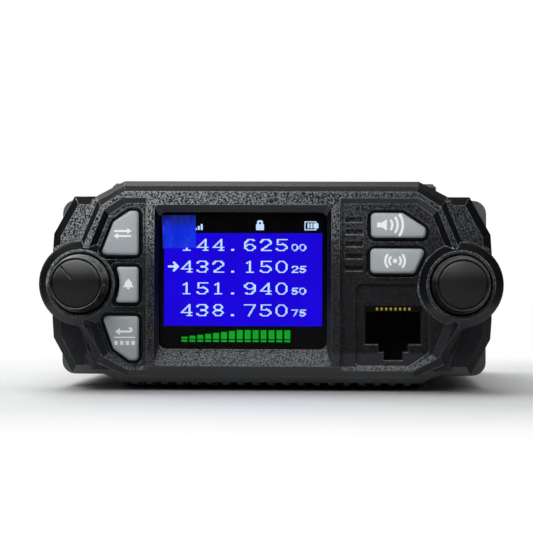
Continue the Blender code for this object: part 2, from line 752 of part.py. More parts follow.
def rear_openings(rear):
    """The holes through the rear wall: fan, fan screws, antenna socket, supply lead and jack."""
    ports = [(0.0, FAN_Z, FAN_DUCT, ROUND), (ANTENNA_X, FAN_Z, 6.4, ROUND)]
    ports += [(CABLE_X, CABLE_Z, 4.2, SMALL), (CABLE_X, JACK_Z, 3.2, SMALL)]
    ports += [(x, z, 1.3, 12) for x, z in fan_screw_places()]
    return [
        rod("port", (x, 0.0, z), radius, rear - 1.0, BODY_REAR + 1.0, segments)
        for x, z, radius, segments in ports
    ]


def top_cover():
    """The raised lid, hollow underneath, with the speaker's slots through its top."""
    low = CHASSIS_HIGH + 0.2
    front, rear = BEZEL_DEPTH + JOINT_GAP, BODY_REAR - 0.4
    bevel = 0.8

    def section(inset, z, y_inset):
        x = COVER_HALF - inset
        corners = rectangle(-x, front + y_inset, x, rear - y_inset)
        return [(x, y, z) for x, y in corners]

    lid = loft("top_cover", [
        section(0.0, low, 0.0), section(0.0, COVER_TOP - bevel, 0.0), section(bevel, COVER_TOP, bevel),
    ])
    inner = COVER_HALF - COVER_WALL
    under = COVER_TOP - COVER_WALL
    cut(lid, box("hollow", (-inner, front + COVER_WALL, low - 1.0), (inner, rear - COVER_WALL, under)))
    bosses = [rod("boss", (x, y, 0.0), 2.6, low, under + 0.8, SMALL, "Z") for x, y in cover_screw_places()]
    join(lid, *bosses)
    tools = []
    for x, y in cover_screw_places():
        tools.append(countersunk((x, y, 0.0), COVER_TOP, 1, COVER_TOP - low + 1.0))
    for k in range(-5, 6):
        offset = k * 3.0
        reach = math.sqrt((SPEAKER_RADIUS - 1.0) ** 2 - offset ** 2) - 0.8
        middle = SPEAKER_Y + offset
        outline = rounded(rectangle(-reach, middle - 0.75, reach, middle + 0.75), 0.74, 4)
        ends = [[(x, y, z) for x, y in outline] for z in (under - 1.0, COVER_TOP + 1.0)]
        tools.append(loft("slot", ends))
    for x0, x1 in ((-26.0, -10.0), (10.0, 26.0)):
        for y in (88.0, 92.0, 96.0, 100.0):
            tools.append(box("recess", (x0, y - 0.8, COVER_TOP - 0.7), (x1, y + 0.8, COVER_TOP + 1.0)))
    cut(lid, *tools)
    return finish(lid, BLACK_PAINT)


def screw(name, centre, axis, top, way, length, head_radius=2.1, head=0.9):
    """A pan-head cross-recess screw whose head sits on top and whose shank runs the other way."""
    seat = top
    profile = [
        (0.0, seat + way * head), (head_radius * 0.75, seat + way * head),
        (head_radius, seat + way * head * 0.5), (head_radius, seat + way * 0.05),
        (0.95, seat + way * 0.05), (0.95, seat - way * length), (0.0, seat - way * length),
    ]
    made = turned(name, centre, profile, COARSE, axis)
    deep = seat + way * (head - 0.5)
    high = seat + way * (head + 1.0)
    for wide, tall in ((1.1, 0.2), (0.2, 1.1)):
        low_point, high_point = [0.0] * 3, [0.0] * 3
        main = {"X": 0, "Y": 1, "Z": 2}[axis]
        others = [i for i in range(3) if i != main]
        for index, half in zip(others, (wide, tall)):
            low_point[index], high_point[index] = centre[index] - half, centre[index] + half
        low_point[main], high_point[main] = sorted((centre[main] + deep, centre[main] + high))
        cut(made, box("cross", low_point, high_point))
    return finish(made, DARK_STEEL, centre)


def screws():
    for index, (x, y) in enumerate(cover_screw_places(), 1):
        screw(f"cover_screw_{index}", (x, y, 0.0), "Z", COVER_TOP - 0.9, 1, 6.4)
    for index, (x, y, way) in enumerate(bezel_screw_places(), 1):
        seat = (SHOULDER_Z if way > 0 else FOOT_Z) - way * 0.9
        screw(f"bezel_screw_{index}", (x, y, 0.0), "Z", seat, way, 4.6)
    for index, (x, y) in enumerate(board_screw_places(), 1):
        screw(f"board_screw_{index}", (x, y, 0.0), "Z", 10.8, 1, 4.2)
    for index, (x, z) in enumerate(fan_screw_places(), 1):
        screw(f"fan_screw_{index}", (x, 0.0, z), "Y", BODY_REAR + 2.1, 1, 12.0, 1.9)


# ---------------------------------------------------------------- inside the chassis
def speaker():
    centre = (0.0, SPEAKER_Y, 0.0)
    top = COVER_TOP - COVER_WALL - 0.3
    basket = turned("speaker_basket", centre, [
        (SPEAKER_RADIUS, top), (SPEAKER_RADIUS, top - 1.0), (16.6, top - 1.4), (9.0, top - 5.6),
        (9.0, top - 6.6), (4.0, top - 6.6), (4.0, top - 5.9), (8.2, top - 5.6), (16.2, top - 0.7),
        (16.6, top),
    ], ROUND, "Z", closed=True)
    finish(basket, DARK_STEEL)
    cone = turned("speaker_cone", centre, [
        (0.0, top - 2.6), (3.4, top - 3.0), (4.6, top - 4.0), (15.0, top - 0.6), (16.1, top - 0.2),
        (16.1, top - 0.5), (14.8, top - 1.1), (4.6, top - 4.6), (3.6, top - 5.2), (0.0, top - 5.2),
    ], ROUND, "Z")
    finish(cone, CONE_PAPER)
    magnet = rod("speaker_magnet", centre, 8.6, top - 11.4, top - 6.9, ROUND, "Z")
    finish(magnet, BARE_STEEL)


def electronics():
    board = box("main_board", (-42.0, 24.0, 9.2), (42.0, 101.0, 10.6))
    holes = [rod("hole", (x, y, 0.0), 1.25, 8.0, 12.0, 12, "Z") for x, y in board_screw_places()]
    cut(board, *holes)
    finish(board, GREEN_BOARD)
    shield = box("rf_shield", (-8.0, 34.0, 10.8), (32.0, 60.0, 18.0))
    cut(shield, box("hollow", (-7.4, 34.6, 10.0), (31.4, 59.4, 17.4)))
    finish(shield, TIN_PLATE)
    amplifier = box("power_amplifier", (6.0, 74.0, 10.8), (30.0, 88.0, 16.5))
    finish(amplifier, BLACK_PLASTIC)
    ribbon = ribbon_cable()
    finish(ribbon, RIBBON)


def ribbon_cable():
    """The flat cable from the back of the front board down to the main board."""
    thick, half = 0.3, 9.0
    path = [(17.1, 24.0), (18.4, 22.6), (18.9, 18.0), (20.2, 13.6), (23.4, 11.4), (28.0, 10.95)]
    rings = []
    for i, (y, z) in enumerate(path):
        before, after = Vector(path[max(i - 1, 0)]), Vector(path[min(i + 1, len(path) - 1)])
        along = (after - before).normalized()
        normal = Vector((-along.y, along.x)) * thick
        rings.append([
            (-20.0 - half, y, z), (-20.0 + half, y, z),
            (-20.0 + half, y + normal.x, z + normal.y), (-20.0 - half, y + normal.x, z + normal.y),
        ])
    return loft("ribbon_cable", rings)


# ---------------------------------------------------------------- rear fittings
def fan_screw_places():
    return [(x, FAN_Z + z) for x in (-FAN_HOLE, FAN_HOLE) for z in (-FAN_HOLE, FAN_HOLE)]


def fan():
    half = FAN_SIZE / 2
    centre = (0.0, 0.0, FAN_Z)
    back = FAN_FRONT_Y + FAN_DEPTH
    outline = rounded(rectangle(-half, FAN_Z - half, half, FAN_Z + half), 2.6)
    frame = prism("fan_frame", outline, FAN_FRONT_Y, back)
    cut(frame, rod("duct", centre, FAN_DUCT - 0.2, FAN_FRONT_Y - 1.0, back + 1.0, ROUND))
    cut(frame, *[rod("hole", (x, 0.0, z), 1.15, back - 9.0, back + 1.0, 12) for x, z in fan_screw_places()])
    struts = []
    for angle in (30.0, 150.0, 270.0):
        outline = spun(rectangle(2.0, -0.9, 13.8, 0.9), angle)
        struts.append(prism("strut", shifted(outline, 0.0, FAN_Z), FAN_FRONT_Y, FAN_FRONT_Y + 1.4))
    stator = turned("stator", centre, [
        (0.0, FAN_FRONT_Y), (6.4, FAN_FRONT_Y), (6.4, FAN_FRONT_Y + 1.8), (4.8, FAN_FRONT_Y + 1.8),
        (4.8, FAN_FRONT_Y + 6.0), (0.0, FAN_FRONT_Y + 6.0),
    ], ROUND)
    finish(join(frame, stator, *struts), BLACK_PLASTIC)
    rotor = turned("fan_rotor", centre, [
        (0.0, back - 0.8), (6.4, back - 0.8), (7.0, back - 1.4), (7.0, FAN_FRONT_Y + 2.4),
        (5.6, FAN_FRONT_Y + 2.4), (5.6, back - 3.6), (0.0, back - 3.6),
    ], ROUND)
    finish(join(rotor, *[fan_blade(k) for k in range(7)]), BLACK_PLASTIC, centre)
    fan_guard()


def fan_blade(index):
    """One curved, pitched blade, rooted inside the hub."""
    near, far = FAN_FRONT_Y + 2.8, FAN_FRONT_Y + FAN_DEPTH - 1.6
    rings = []
    for radius, pitch in ((6.6, 0.62), (9.8, 0.46), (12.8, 0.34)):
        loop = []
        for y, lag, side in ((far, pitch, -1), (far, pitch, 1), (near, -pitch, 1), (near, -pitch, -1)):
            angle = 2 * math.pi * index / 7 + lag * 0.72 + side * 0.42 / radius
            loop.append((radius * math.cos(angle), y, FAN_Z + radius * math.sin(angle)))
        rings.append(loop)
    return loft("blade", rings)


def fan_guard():
    """The finger guard: rings on a cross of spokes, with an ear at each screw."""
    y0, y1 = BODY_REAR + 0.2, BODY_REAR + 2.0
    centre = (0.0, 0.0, FAN_Z)
    guard = ring("fan_guard", centre, 12.6, 14.4, y0, y1, 28)
    parts = [ring("band", centre, r, r + 1.0, y0 + 0.3, y1 - 0.3, 20) for r in (8.4, 4.4)]
    for angle in (45.0, 135.0):
        outline = spun(rectangle(-13.2, -0.6, 13.2, 0.6), angle)
        parts.append(prism("spoke", shifted(outline, 0.0, FAN_Z), y0 + 0.2, y1 - 0.2))
    for x, z in fan_screw_places():
        parts.append(rod("ear", (x, 0.0, z), 2.7, y0, y1, SMALL))
    join(guard, *parts)
    cut(guard, *[rod("hole", (x, 0.0, z), 1.2, y0 - 1.0, y1 + 1.0, 12) for x, z in fan_screw_places()])
    return finish(guard, BLACK_PAINT)


def antenna_socket():
    centre = (ANTENNA_X, 0.0, FAN_Z)
    wall = BODY_REAR
    tip = wall + 14.0
    shell = turned("antenna_socket", centre, [
        (5.9, wall - 8.0), (5.9, wall + 0.2), (10.4, wall + 0.2), (10.4, wall + 2.0), (8.4, wall + 2.6),
        (7.4, wall + 2.6), (7.4, wall + 3.6), (7.9, wall + 4.2), (7.9, tip - 0.6), (7.3, tip),
        (6.6, tip), (6.6, wall + 5.0), (4.7, wall + 5.0), (4.7, wall - 8.0),
    ], ROUND, closed=True)
    notches = []
    for k in range(4):
        turn = math.radians(45 + 90 * k)
        place_of = (ANTENNA_X + 6.9 * math.cos(turn), 0.0, FAN_Z + 6.9 * math.sin(turn))
        notches.append(rod("notch", place_of, 0.8, tip - 1.4, tip + 1.0, 8))
    cut(shell, *notches)
    finish(shell, NICKEL)
    insulator = turned("antenna_insulator", centre, [
        (2.7, wall - 7.6), (4.5, wall - 7.6), (4.5, wall + 5.3), (6.4, wall + 5.3), (6.4, wall + 8.0),
        (2.7, wall + 8.0),
    ], 24, closed=True)
    finish(insulator, INSULATOR)
    contact = turned("antenna_contact", centre, [
        (0.0, wall - 10.0), (1.2, wall - 10.0), (1.2, wall - 8.0), (2.5, wall - 8.0), (2.5, tip - 1.2),
        (1.95, tip - 1.2), (1.95, wall + 3.0), (0.0, wall + 3.0),
    ], ROUND)
    finish(contact, GOLD)
    nut = turned("antenna_nut", centre, [
        (6.1, wall - 3.4), (9.4, wall - 3.4), (9.4, wall - 5.8), (6.1, wall - 5.8),
    ], 6, closed=True)
    cut(nut, rod("bore", centre, 6.1, wall - 8.0, wall, ROUND))
    finish(nut, NICKEL)


def speaker_jack():
    centre = (CABLE_X, 0.0, JACK_Z)
    wall = BODY_REAR
    low, high = (CABLE_X - 4.6, wall - 15.0, JACK_Z - 4.2), (CABLE_X + 4.6, wall - 3.6, JACK_Z + 4.2)
    jack = box("speaker_jack", low, high)
    join(jack, rod("bushing", centre, 3.0, wall - 4.0, wall + 2.6, SMALL))
    cut(jack, rod("bore", centre, 1.8, wall - 12.0, wall + 4.0, SMALL))
    finish(jack, BLACK_PLASTIC)
    finish(ring("speaker_jack_nut", centre, 3.1, 4.6, wall + 0.2, wall + 1.9, SMALL), NICKEL)


def power_lead():
    """The short two-wire supply lead, its rubber bush in the rear wall and its free plug."""
    centre = (CABLE_X, 0.0, CABLE_Z)
    wall = BODY_REAR
    bush = turned("cable_grommet", centre, [
        (0.0, wall - 5.0), (4.9, wall - 5.0), (4.9, wall - 3.5), (4.0, wall - 3.4), (4.0, wall + 0.2),
        (5.0, wall + 0.3), (5.0, wall + 1.6), (3.8, wall + 5.0), (0.0, wall + 5.0),
    ], ROUND)
    for dx in (-WIRE_OFFSET, WIRE_OFFSET):
        cut(bush, rod("bore", (CABLE_X + dx, 0.0, CABLE_Z), 1.55, wall - 6.0, wall + 6.0))
    finish(bush, DARK_RUBBER)
    supply_wire("supply_wire_red", -WIRE_OFFSET, RED_WIRE)
    supply_wire("supply_wire_black", WIRE_OFFSET, BLACK_WIRE)
    power_plug()


def supply_wire(name, dx, finish_material):
    """One round wire from inside the case, through the bush and down to the plug."""
    curve = bpy.data.curves.new(name, "CURVE")
    curve.dimensions = "3D"
    curve.bevel_depth = WIRE_RADIUS * MM
    curve.bevel_resolution = 2
    curve.use_fill_caps = True
    curve.resolution_u = 5
    line = curve.splines.new("BEZIER")
    line.bezier_points.add(2)
    path = (
        ((dx, BODY_REAR - 14.0, CABLE_Z), (0.0, 6.0, 0.0)),
        ((dx, BODY_REAR + 8.0, CABLE_Z - 0.4), (0.0, 6.0, -0.8)),
        ((dx * PLUG_SPREAD, PLUG_Y + 1.0, PLUG_Z), (0.0, 5.0, 0.0)),
    )
    for point, (where, handle) in zip(line.bezier_points, path):
        spot = Vector((CABLE_X + where[0], where[1], where[2])) * MM
        point.co = spot
        point.handle_left = spot - Vector(handle) * MM
        point.handle_right = spot + Vector(handle) * MM
    wire = bpy.data.objects.new(name, curve)
    bpy.context.scene.collection.objects.link(wire)
    curve.materials.append(finish_material)
    wire.parent = root


def power_plug():
    x, front = CABLE_X, PLUG_Y
    plug = box("power_plug", (x - 7.5, front, 1.2), (x + 7.5, front + 20.0, 11.8))
    for dx in (-WIRE_OFFSET * PLUG_SPREAD, WIRE_OFFSET * PLUG_SPREAD):
        cut(plug, rod("bore", (x + dx, 0.0, PLUG_Z), 1.75, front - 1.0, front + 5.0))
    cut(
        plug,
        box("blade_slot", (x - 5.6, front + 12.0, 3.4), (x - 0.8, front + 21.0, 9.6)),
        box("blade_slot", (x + 0.8, front + 12.0, 3.4), (x + 5.6, front + 21.0, 9.6)),
        box("latch", (x - 2.0, front + 4.0, 11.0), (x + 2.0, front + 12.0, 13.0)),
    )
    return finish(plug, BLACK_PLASTIC)


# ---------------------------------------------------------------- assembly
clear_scene()
BLACK_PLASTIC = material("black_plastic", (0.03, 0.03, 0.033), 0.55)
BLACK_PAINT = material("black_paint", (0.028, 0.028, 0.03), 0.45)
CAST_METAL = material("cast_metal", (0.17, 0.17, 0.17), 0.5, 0.6)
GREY_KEYTOP = material("grey_keytop", (0.33, 0.36, 0.38), 0.5)
KNOB_PLASTIC = material("knob_plastic", (0.025, 0.025, 0.028), 0.6)
DARK_RUBBER = material("dark_rubber", (0.03, 0.03, 0.03), 0.8)
CLEAR_LENS = material("clear_lens", (0.8, 0.82, 0.85), 0.05, 0.0, 0.3)
DISPLAY_GLASS = material("display_glass", (0.02, 0.01, 0.6), 0.2)
WHITE_PLASTIC = material("white_plastic", (0.75, 0.75, 0.73), 0.6)
GREEN_BOARD = material("green_board", (0.02, 0.16, 0.07), 0.4)
BARE_STEEL = material("bare_steel", (0.55, 0.55, 0.55), 0.3, 1.0)
DARK_STEEL = material("dark_steel", (0.05, 0.05, 0.055), 0.35, 0.9)
TIN_PLATE = material("tin_plate", (0.65, 0.65, 0.63), 0.3, 1.0)
GOLD = material("gold", (0.83, 0.62, 0.24), 0.25, 1.0)
NICKEL = material("nickel", (0.66, 0.65, 0.62), 0.22, 1.0)
INSULATOR = material("insulator", (0.85, 0.85, 0.83), 0.5)
CONE_PAPER = material("cone_paper", (0.05, 0.05, 0.05), 0.9)
RIBBON = material("ribbon", (0.75, 0.7, 0.6), 0.5)
RED_WIRE = material("red_wire", (0.5, 0.02, 0.02), 0.45)
BLACK_WIRE = material("black_wire", (0.02, 0.02, 0.02), 0.45)

root = bpy.data.objects.new("radio", None)
bpy.context.scene.collection.objects.link(root)
root.location = (0.0, FACE_Y * MM, 0.0)

front_bezel()
for key_name in key_outlines():
    key(key_name)
keypad_mat("keypad_mat_left", ("memory_key", "call_key", "exit_key"))
keypad_mat("keypad_mat_right", ("monitor_key", "broadcast_key"))
knob("volume_knob", -1, pointer=True)
knob("channel_knob", 1, pointer=False)
control("volume", -1, "volume_control")
control("channel", 1, "channel_encoder")
display()
front_board()
mic_jack()
chassis()
top_cover()
screws()
speaker()
electronics()
fan()
antenna_socket()
speaker_jack()
power_lead()
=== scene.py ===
"""The looks of a compact mobile two-way radio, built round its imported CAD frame.

Sizes are millimetres unless a name says otherwise; MM turns them into the frame's metres.
x runs to the right, y from the front to the rear, z up.
"""

import json
from math import atan2, copysign, cos, hypot, pi, radians, sin

import bmesh
import bpy
from mathutils import Matrix, Vector

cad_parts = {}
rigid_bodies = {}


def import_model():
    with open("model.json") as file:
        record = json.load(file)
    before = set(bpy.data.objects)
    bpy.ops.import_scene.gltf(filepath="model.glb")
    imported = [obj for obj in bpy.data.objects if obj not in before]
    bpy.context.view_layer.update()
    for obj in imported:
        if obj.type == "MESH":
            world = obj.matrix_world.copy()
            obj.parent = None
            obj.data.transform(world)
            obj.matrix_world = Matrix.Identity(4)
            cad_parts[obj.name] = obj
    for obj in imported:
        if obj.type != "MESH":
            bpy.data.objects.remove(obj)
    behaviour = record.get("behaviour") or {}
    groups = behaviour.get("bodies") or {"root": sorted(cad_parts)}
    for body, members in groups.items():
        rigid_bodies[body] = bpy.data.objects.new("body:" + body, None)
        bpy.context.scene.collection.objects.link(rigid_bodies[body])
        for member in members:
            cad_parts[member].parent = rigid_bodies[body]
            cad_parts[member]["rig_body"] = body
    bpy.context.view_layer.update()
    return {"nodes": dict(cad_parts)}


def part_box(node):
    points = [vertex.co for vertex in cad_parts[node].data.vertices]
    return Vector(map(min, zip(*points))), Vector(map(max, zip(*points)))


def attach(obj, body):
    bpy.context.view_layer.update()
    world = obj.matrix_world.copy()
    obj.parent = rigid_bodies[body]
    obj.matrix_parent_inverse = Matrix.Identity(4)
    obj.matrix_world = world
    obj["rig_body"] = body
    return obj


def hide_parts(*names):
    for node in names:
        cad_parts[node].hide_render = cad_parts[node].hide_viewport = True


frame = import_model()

MM = 0.001

FACE_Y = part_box("front_bezel")[0].y / MM + 0.5  # the bezel's front face; the knob bosses stand 0.5 proud
LENS_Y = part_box("display_lens")[0].y / MM
REAR_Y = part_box("chassis")[1].y / MM
KNOB_X = (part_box("channel_knob")[0].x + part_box("channel_knob")[1].x) / 2 / MM
KNOB_Z = (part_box("channel_knob")[0].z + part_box("channel_knob")[1].z) / 2 / MM


# --- procedural finishes
class Finish:
    """A material under construction. Each method adds shader nodes and returns an output socket."""

    def __init__(self, name):
        self.material = bpy.data.materials.new(name)
        self.material.use_nodes = True
        self.tree = self.material.node_tree
        self.shader = self.tree.nodes["Principled BSDF"]
        self.place = self.node("TexCoord").outputs["Object"]

    def node(self, kind, **settings):
        made = self.tree.nodes.new("ShaderNode" + kind)
        for key, value in settings.items():
            setattr(made, key, value)
        return made

    def plug(self, socket, value):
        if isinstance(value, bpy.types.NodeSocket):
            self.tree.links.new(value, socket)
        elif socket.type == "RGBA":
            socket.default_value = (*value, 1.0)
        else:
            socket.default_value = value

    def maths(self, operation, *values):
        made = self.node("Math", operation=operation)
        for socket, value in zip(made.inputs, values):
            self.plug(socket, value)
        return made.outputs[0]

    def times(self, first, second):
        return self.maths("MULTIPLY", first, second)

    def stretched(self, stretch):
        if stretch is None:
            return self.place
        made = self.node("Mapping")
        self.plug(made.inputs["Vector"], self.place)
        made.inputs["Scale"].default_value = stretch
        return made.outputs[0]

    def noise(self, size, detail=2.0, roughness=0.5, stretch=None):
        """Cloudy noise with features about size millimetres across."""
        made = self.node("TexNoise")
        self.plug(made.inputs["Vector"], self.stretched(stretch))
        made.inputs["Scale"].default_value = 1.0 / (size * MM)
        made.inputs["Detail"].default_value = detail
        made.inputs["Roughness"].default_value = roughness
        return made.outputs[0]

    def cells(self, size, feature="F1"):
        """Distance to the middles (or, as DISTANCE_TO_EDGE, the borders) of random cells."""
        made = self.node("TexVoronoi", feature=feature)
        self.plug(made.inputs["Vector"], self.place)
        made.inputs["Scale"].default_value = 1.0 / (size * MM)
        return made.outputs["Distance"]

    def band(self, value, start, end, low=0.0, high=1.0):
        """low before start, high after end, with a smooth step between them."""
        made = self.node("MapRange", interpolation_type="SMOOTHSTEP")
        settings = {"Value": value, "From Min": start, "From Max": end, "To Min": low, "To Max": high}
        for key, item in settings.items():
            self.plug(made.inputs[key], item)
        return made.outputs[0]

    def blend(self, share, first, second):
        made = self.node("Mix", data_type="RGBA")
        self.plug(made.inputs[0], share)
        self.plug(made.inputs[6], first)
        self.plug(made.inputs[7], second)
        return made.outputs[2]

    def part_of(self, vector, axis):
        made = self.node("SeparateXYZ")
        self.plug(made.inputs[0], vector)
        return made.outputs["XYZ".index(axis)]

    def along(self, axis):
        """The place along x, y or z, in millimetres."""
        return self.maths("DIVIDE", self.part_of(self.place, axis), MM)

    def flat_normal(self):
        return self.node("NewGeometry").outputs["True Normal"]

    def facing(self, axis):
        """How far the surface faces along x, y or z: -1 to 1."""
        return self.part_of(self.flat_normal(), axis)

    def edge(self, rolled):
        """1 beside sharp edges, where the rounded normal leaves the flat one."""
        made = self.node("VectorMath", operation="DOT_PRODUCT")
        self.plug(made.inputs[0], rolled)
        self.plug(made.inputs[1], self.flat_normal())
        return self.band(made.outputs["Value"], 0.992, 0.94)

    def bump(self, height, depth, strength=1.0, base=None):
        made = self.node("Bump")
        made.inputs["Distance"].default_value = depth * MM
        self.plug(made.inputs["Strength"], strength)
        self.plug(made.inputs["Height"], height)
        if base is not None:
            self.plug(made.inputs["Normal"], base)
        return made.outputs[0]

    def rounding(self, radius):
        """Normals that roll over sharp edges, as a moulded edge does."""
        made = self.node("Bevel", samples=4)
        made.inputs["Radius"].default_value = radius * MM
        return made.outputs[0]

    def set(self, **inputs):
        for key, value in inputs.items():
            self.plug(self.shader.inputs[key.replace("_", " ")], value)
        return self.material


# The colour of the bezel's painted highlights: glints on its grain and light along its edges
BEZEL_PAINTED_HIGHLIGHT = (0.56, 0.59, 0.61)
WING_START, WING_SURE = 38.5, 39.2  # how far out in x the bezel's side wings set in


def bezel_regions(f, behind, x_out, z):
    """Where the bezel is grained, and the part of the grain on the ledges that face up low in its front."""
    square_on = f.band(f.facing("Y"), -0.955, -0.965)
    low_front = f.times(f.band(behind, 3.4, 3.2), f.band(z, 14.0, 12.0))
    ledge = f.times(f.band(f.facing("Z"), 0.2, 0.4), low_front)
    grained = f.maths("MAXIMUM", square_on, ledge)
    lower_wing = f.times(f.band(z, 16.2, 15.4), f.band(x_out, 40.6, 41.4))
    return f.times(grained, f.maths("SUBTRACT", 1.0, f.times(lower_wing, 0.85))), ledge


def bezel_colour_and_painted_bounce(f, grained, z):
    """The moulding's own near-black, with painted light from the pale floor: paler on its smooth low bevels,
    paler still on faces that look down, and palest on those near its bottom edge.
    """
    shade = f.blend(f.noise(9.0), (0.004, 0.0042, 0.005), (0.007, 0.0075, 0.009))
    # Painted floor light: smooth faces and the bottom band grow paler towards the bottom
    painted_bounce_low = f.maths("MAXIMUM", f.maths("SUBTRACT", 1.0, grained), f.band(z, 8.6, 7.6))
    shade = f.blend(f.times(painted_bounce_low, f.band(z, 24.0, 12.0)), shade, (0.029, 0.030, 0.033))
    # Painted floor light on faces that look down, strongest near the bottom edge
    shade = f.blend(f.band(f.facing("Z"), -0.25, -0.5), shade, (0.055, 0.057, 0.06))
    painted_bounce_under = f.times(f.band(f.facing("Z"), -0.55, -0.7), f.band(z, 10.0, 8.0))
    return f.blend(painted_bounce_under, shade, (0.17, 0.175, 0.18))


def bezel_painted_edges(f, rolled, painted_light_share, x_out, z):
    """Painted highlights along sharp edges: strongest on high ones, on the knob bosses (more towards their
    top), and where an edge turns up, broken into specks.
    """
    # Painted highlight on edges whose rounding turns upwards
    painted_upturn = f.band(f.maths("SUBTRACT", f.part_of(rolled, "Z"), f.facing("Z")), 0.1, 0.3)
    sparkle = f.band(f.noise(0.5, 2.0), 0.42, 0.6, 0.25, 1.0)
    from_knob = [f.maths("SUBTRACT", x_out, KNOB_X), f.maths("SUBTRACT", z, KNOB_Z)]
    from_knob = f.maths("SQRT", f.maths("ADD", *[f.times(side, side) for side in from_knob]))
    # Painted highlight on the edges of the knob bosses, brighter towards their top
    painted_boss_light = f.times(f.band(from_knob, 9.7, 9.5), f.band(z, 14.0, 29.0, 0.12, 0.8))
    painted_catch = f.maths("MAXIMUM", f.times(painted_light_share, 0.9), painted_boss_light)
    edge = f.times(f.edge(rolled), f.maths("ADD", painted_catch, 0.05))
    return f.times(f.maths("MAXIMUM", edge, f.times(painted_upturn, 0.7)), sparkle)


def bezel_plastic():
    """Black moulding: leathery grain on its raised faces and smooth bevels, with painted highlights on the
    grain's crests and along its edges, strongest high up and to the left.
    """
    f = Finish("bezel_plastic")
    behind = f.maths("SUBTRACT", f.along("Y"), FACE_Y)
    x, z = f.along("X"), f.along("Z")
    x_out = f.maths("ABSOLUTE", x)
    rolled = f.rounding(0.34)
    grained, ledge = bezel_regions(f, behind, x_out, z)
    pebbles = f.maths("SUBTRACT", 1.0, f.times(f.cells(0.4), 1.5))
    grain = f.maths("ADD", f.times(pebbles, 0.3), f.noise(0.36, 3.0, 0.65))
    relief = f.maths("ADD", f.times(grain, grained), f.times(f.noise(0.11, 1.0), 0.12))
    # Painted light: the highlights grow towards the top and towards the left, and are full on the upper left
    # wing
    painted_light_share = f.times(f.band(z, 26.0, 38.0, 0.14, 1.0), f.band(x, 42.0, -30.0, 0.28, 1.0))
    left_wing = f.times(f.band(x, -WING_START, -WING_SURE), f.band(z, 22.0, 23.0))
    painted_light_share = f.maths("MAXIMUM", painted_light_share, left_wing)
    raised = f.maths("MAXIMUM", f.band(behind, 1.0, 0.4, 0.45, 1.0), f.band(x_out, WING_START, WING_SURE))
    # Painted glints on the grain: on raised faces as far as the painted light reaches, half as strong on the
    # low ledges that face up
    painted_glint_share = f.maths("MAXIMUM", f.times(painted_light_share, raised), f.times(ledge, 0.5))
    painted_crest_glint = f.times(f.times(f.band(grain, 0.42, 0.8), grained), painted_glint_share)
    colour = f.blend(f.times(painted_crest_glint, 0.75), bezel_colour_and_painted_bounce(f, grained, z), BEZEL_PAINTED_HIGHLIGHT)
    # Painted highlights along the sharp edges go over that
    colour = f.blend(bezel_painted_edges(f, rolled, painted_light_share, x_out, z), colour, BEZEL_PAINTED_HIGHLIGHT)
    return f.set(Base_Color=colour, Roughness=f.maths("ADD", 0.36, f.times(f.noise(1.6), 0.12)),
                 Specular_IOR_Level=f.maths("ADD", 0.04, f.times(grained, 0.11)),
                 Normal=f.bump(relief, 0.2, 0.9, rolled))


def black_plastic():
    f = Finish("black_plastic")
    grain = f.noise(0.22, 3.0, 0.6)
    colour = f.blend(f.noise(6.0), (0.016, 0.016, 0.018), (0.028, 0.028, 0.03))
    roughness = f.band(f.noise(1.2), 0.2, 0.8, 0.38, 0.55)
    return f.set(Base_Color=colour, Roughness=roughness, Normal=f.bump(grain, 0.03, 0.5, f.rounding(0.12)))


def socket_plastic():
    """The dull, very dark moulding inside the microphone socket, with painted shade making it darker still
    deeper in.
    """
    f = Finish("socket_plastic")
    grain = f.noise(0.3, 3.0)
    # Painted shade: darker the deeper inside the socket
    deep = f.band(f.along("Y"), FACE_Y + 3.5, FACE_Y + 6.0)
    colour = f.blend(deep, (0.010, 0.0105, 0.011), (0.0012, 0.0012, 0.0013))
    return f.set(Base_Color=colour, Roughness=f.band(grain, 0.3, 0.7, 0.6, 0.75), Specular_IOR_Level=0.12,
                 Normal=f.bump(grain, 0.02, 0.4))


def black_paint():
    """Fine-textured black powder coat, rubbed a little lighter on its high spots."""
    f = Finish("black_paint")
    grain = f.noise(0.3, 4.0, 0.65)
    rub = f.band(f.noise(14.0, 4.0), 0.45, 0.7)
    colour = f.blend(f.band(grain, 0.4, 0.7), (0.012, 0.012, 0.013), (0.032, 0.032, 0.034))
    colour = f.blend(f.times(rub, 0.3), colour, (0.05, 0.05, 0.052))
    roughness = f.band(f.noise(3.0, 3.0), 0.3, 0.7, 0.36, 0.52)
    return f.set(Base_Color=colour, Roughness=roughness, Normal=f.bump(grain, 0.06, 0.6, f.rounding(0.2)))


def cast_metal():
    """Gunmetal lacquer over a slightly uneven die casting."""
    f = Finish("cast_metal")
    uneven = f.maths("ADD", f.noise(0.35, 3.0, 0.6), f.times(f.noise(4.0, 2.0), 0.8))
    tone = f.band(f.noise(18.0, 3.0), 0.3, 0.7)
    colour = f.blend(tone, (0.135, 0.137, 0.135), (0.19, 0.192, 0.19))
    colour = f.blend(f.band(f.noise(0.5, 2.0), 0.62, 0.75), colour, (0.26, 0.26, 0.255))
    roughness = f.band(f.noise(2.2, 3.0), 0.3, 0.7, 0.36, 0.55)
    normal = f.bump(uneven, 0.06, 0.55, f.rounding(0.25))
    return f.set(Base_Color=colour, Metallic=0.55, Roughness=roughness, Normal=normal)


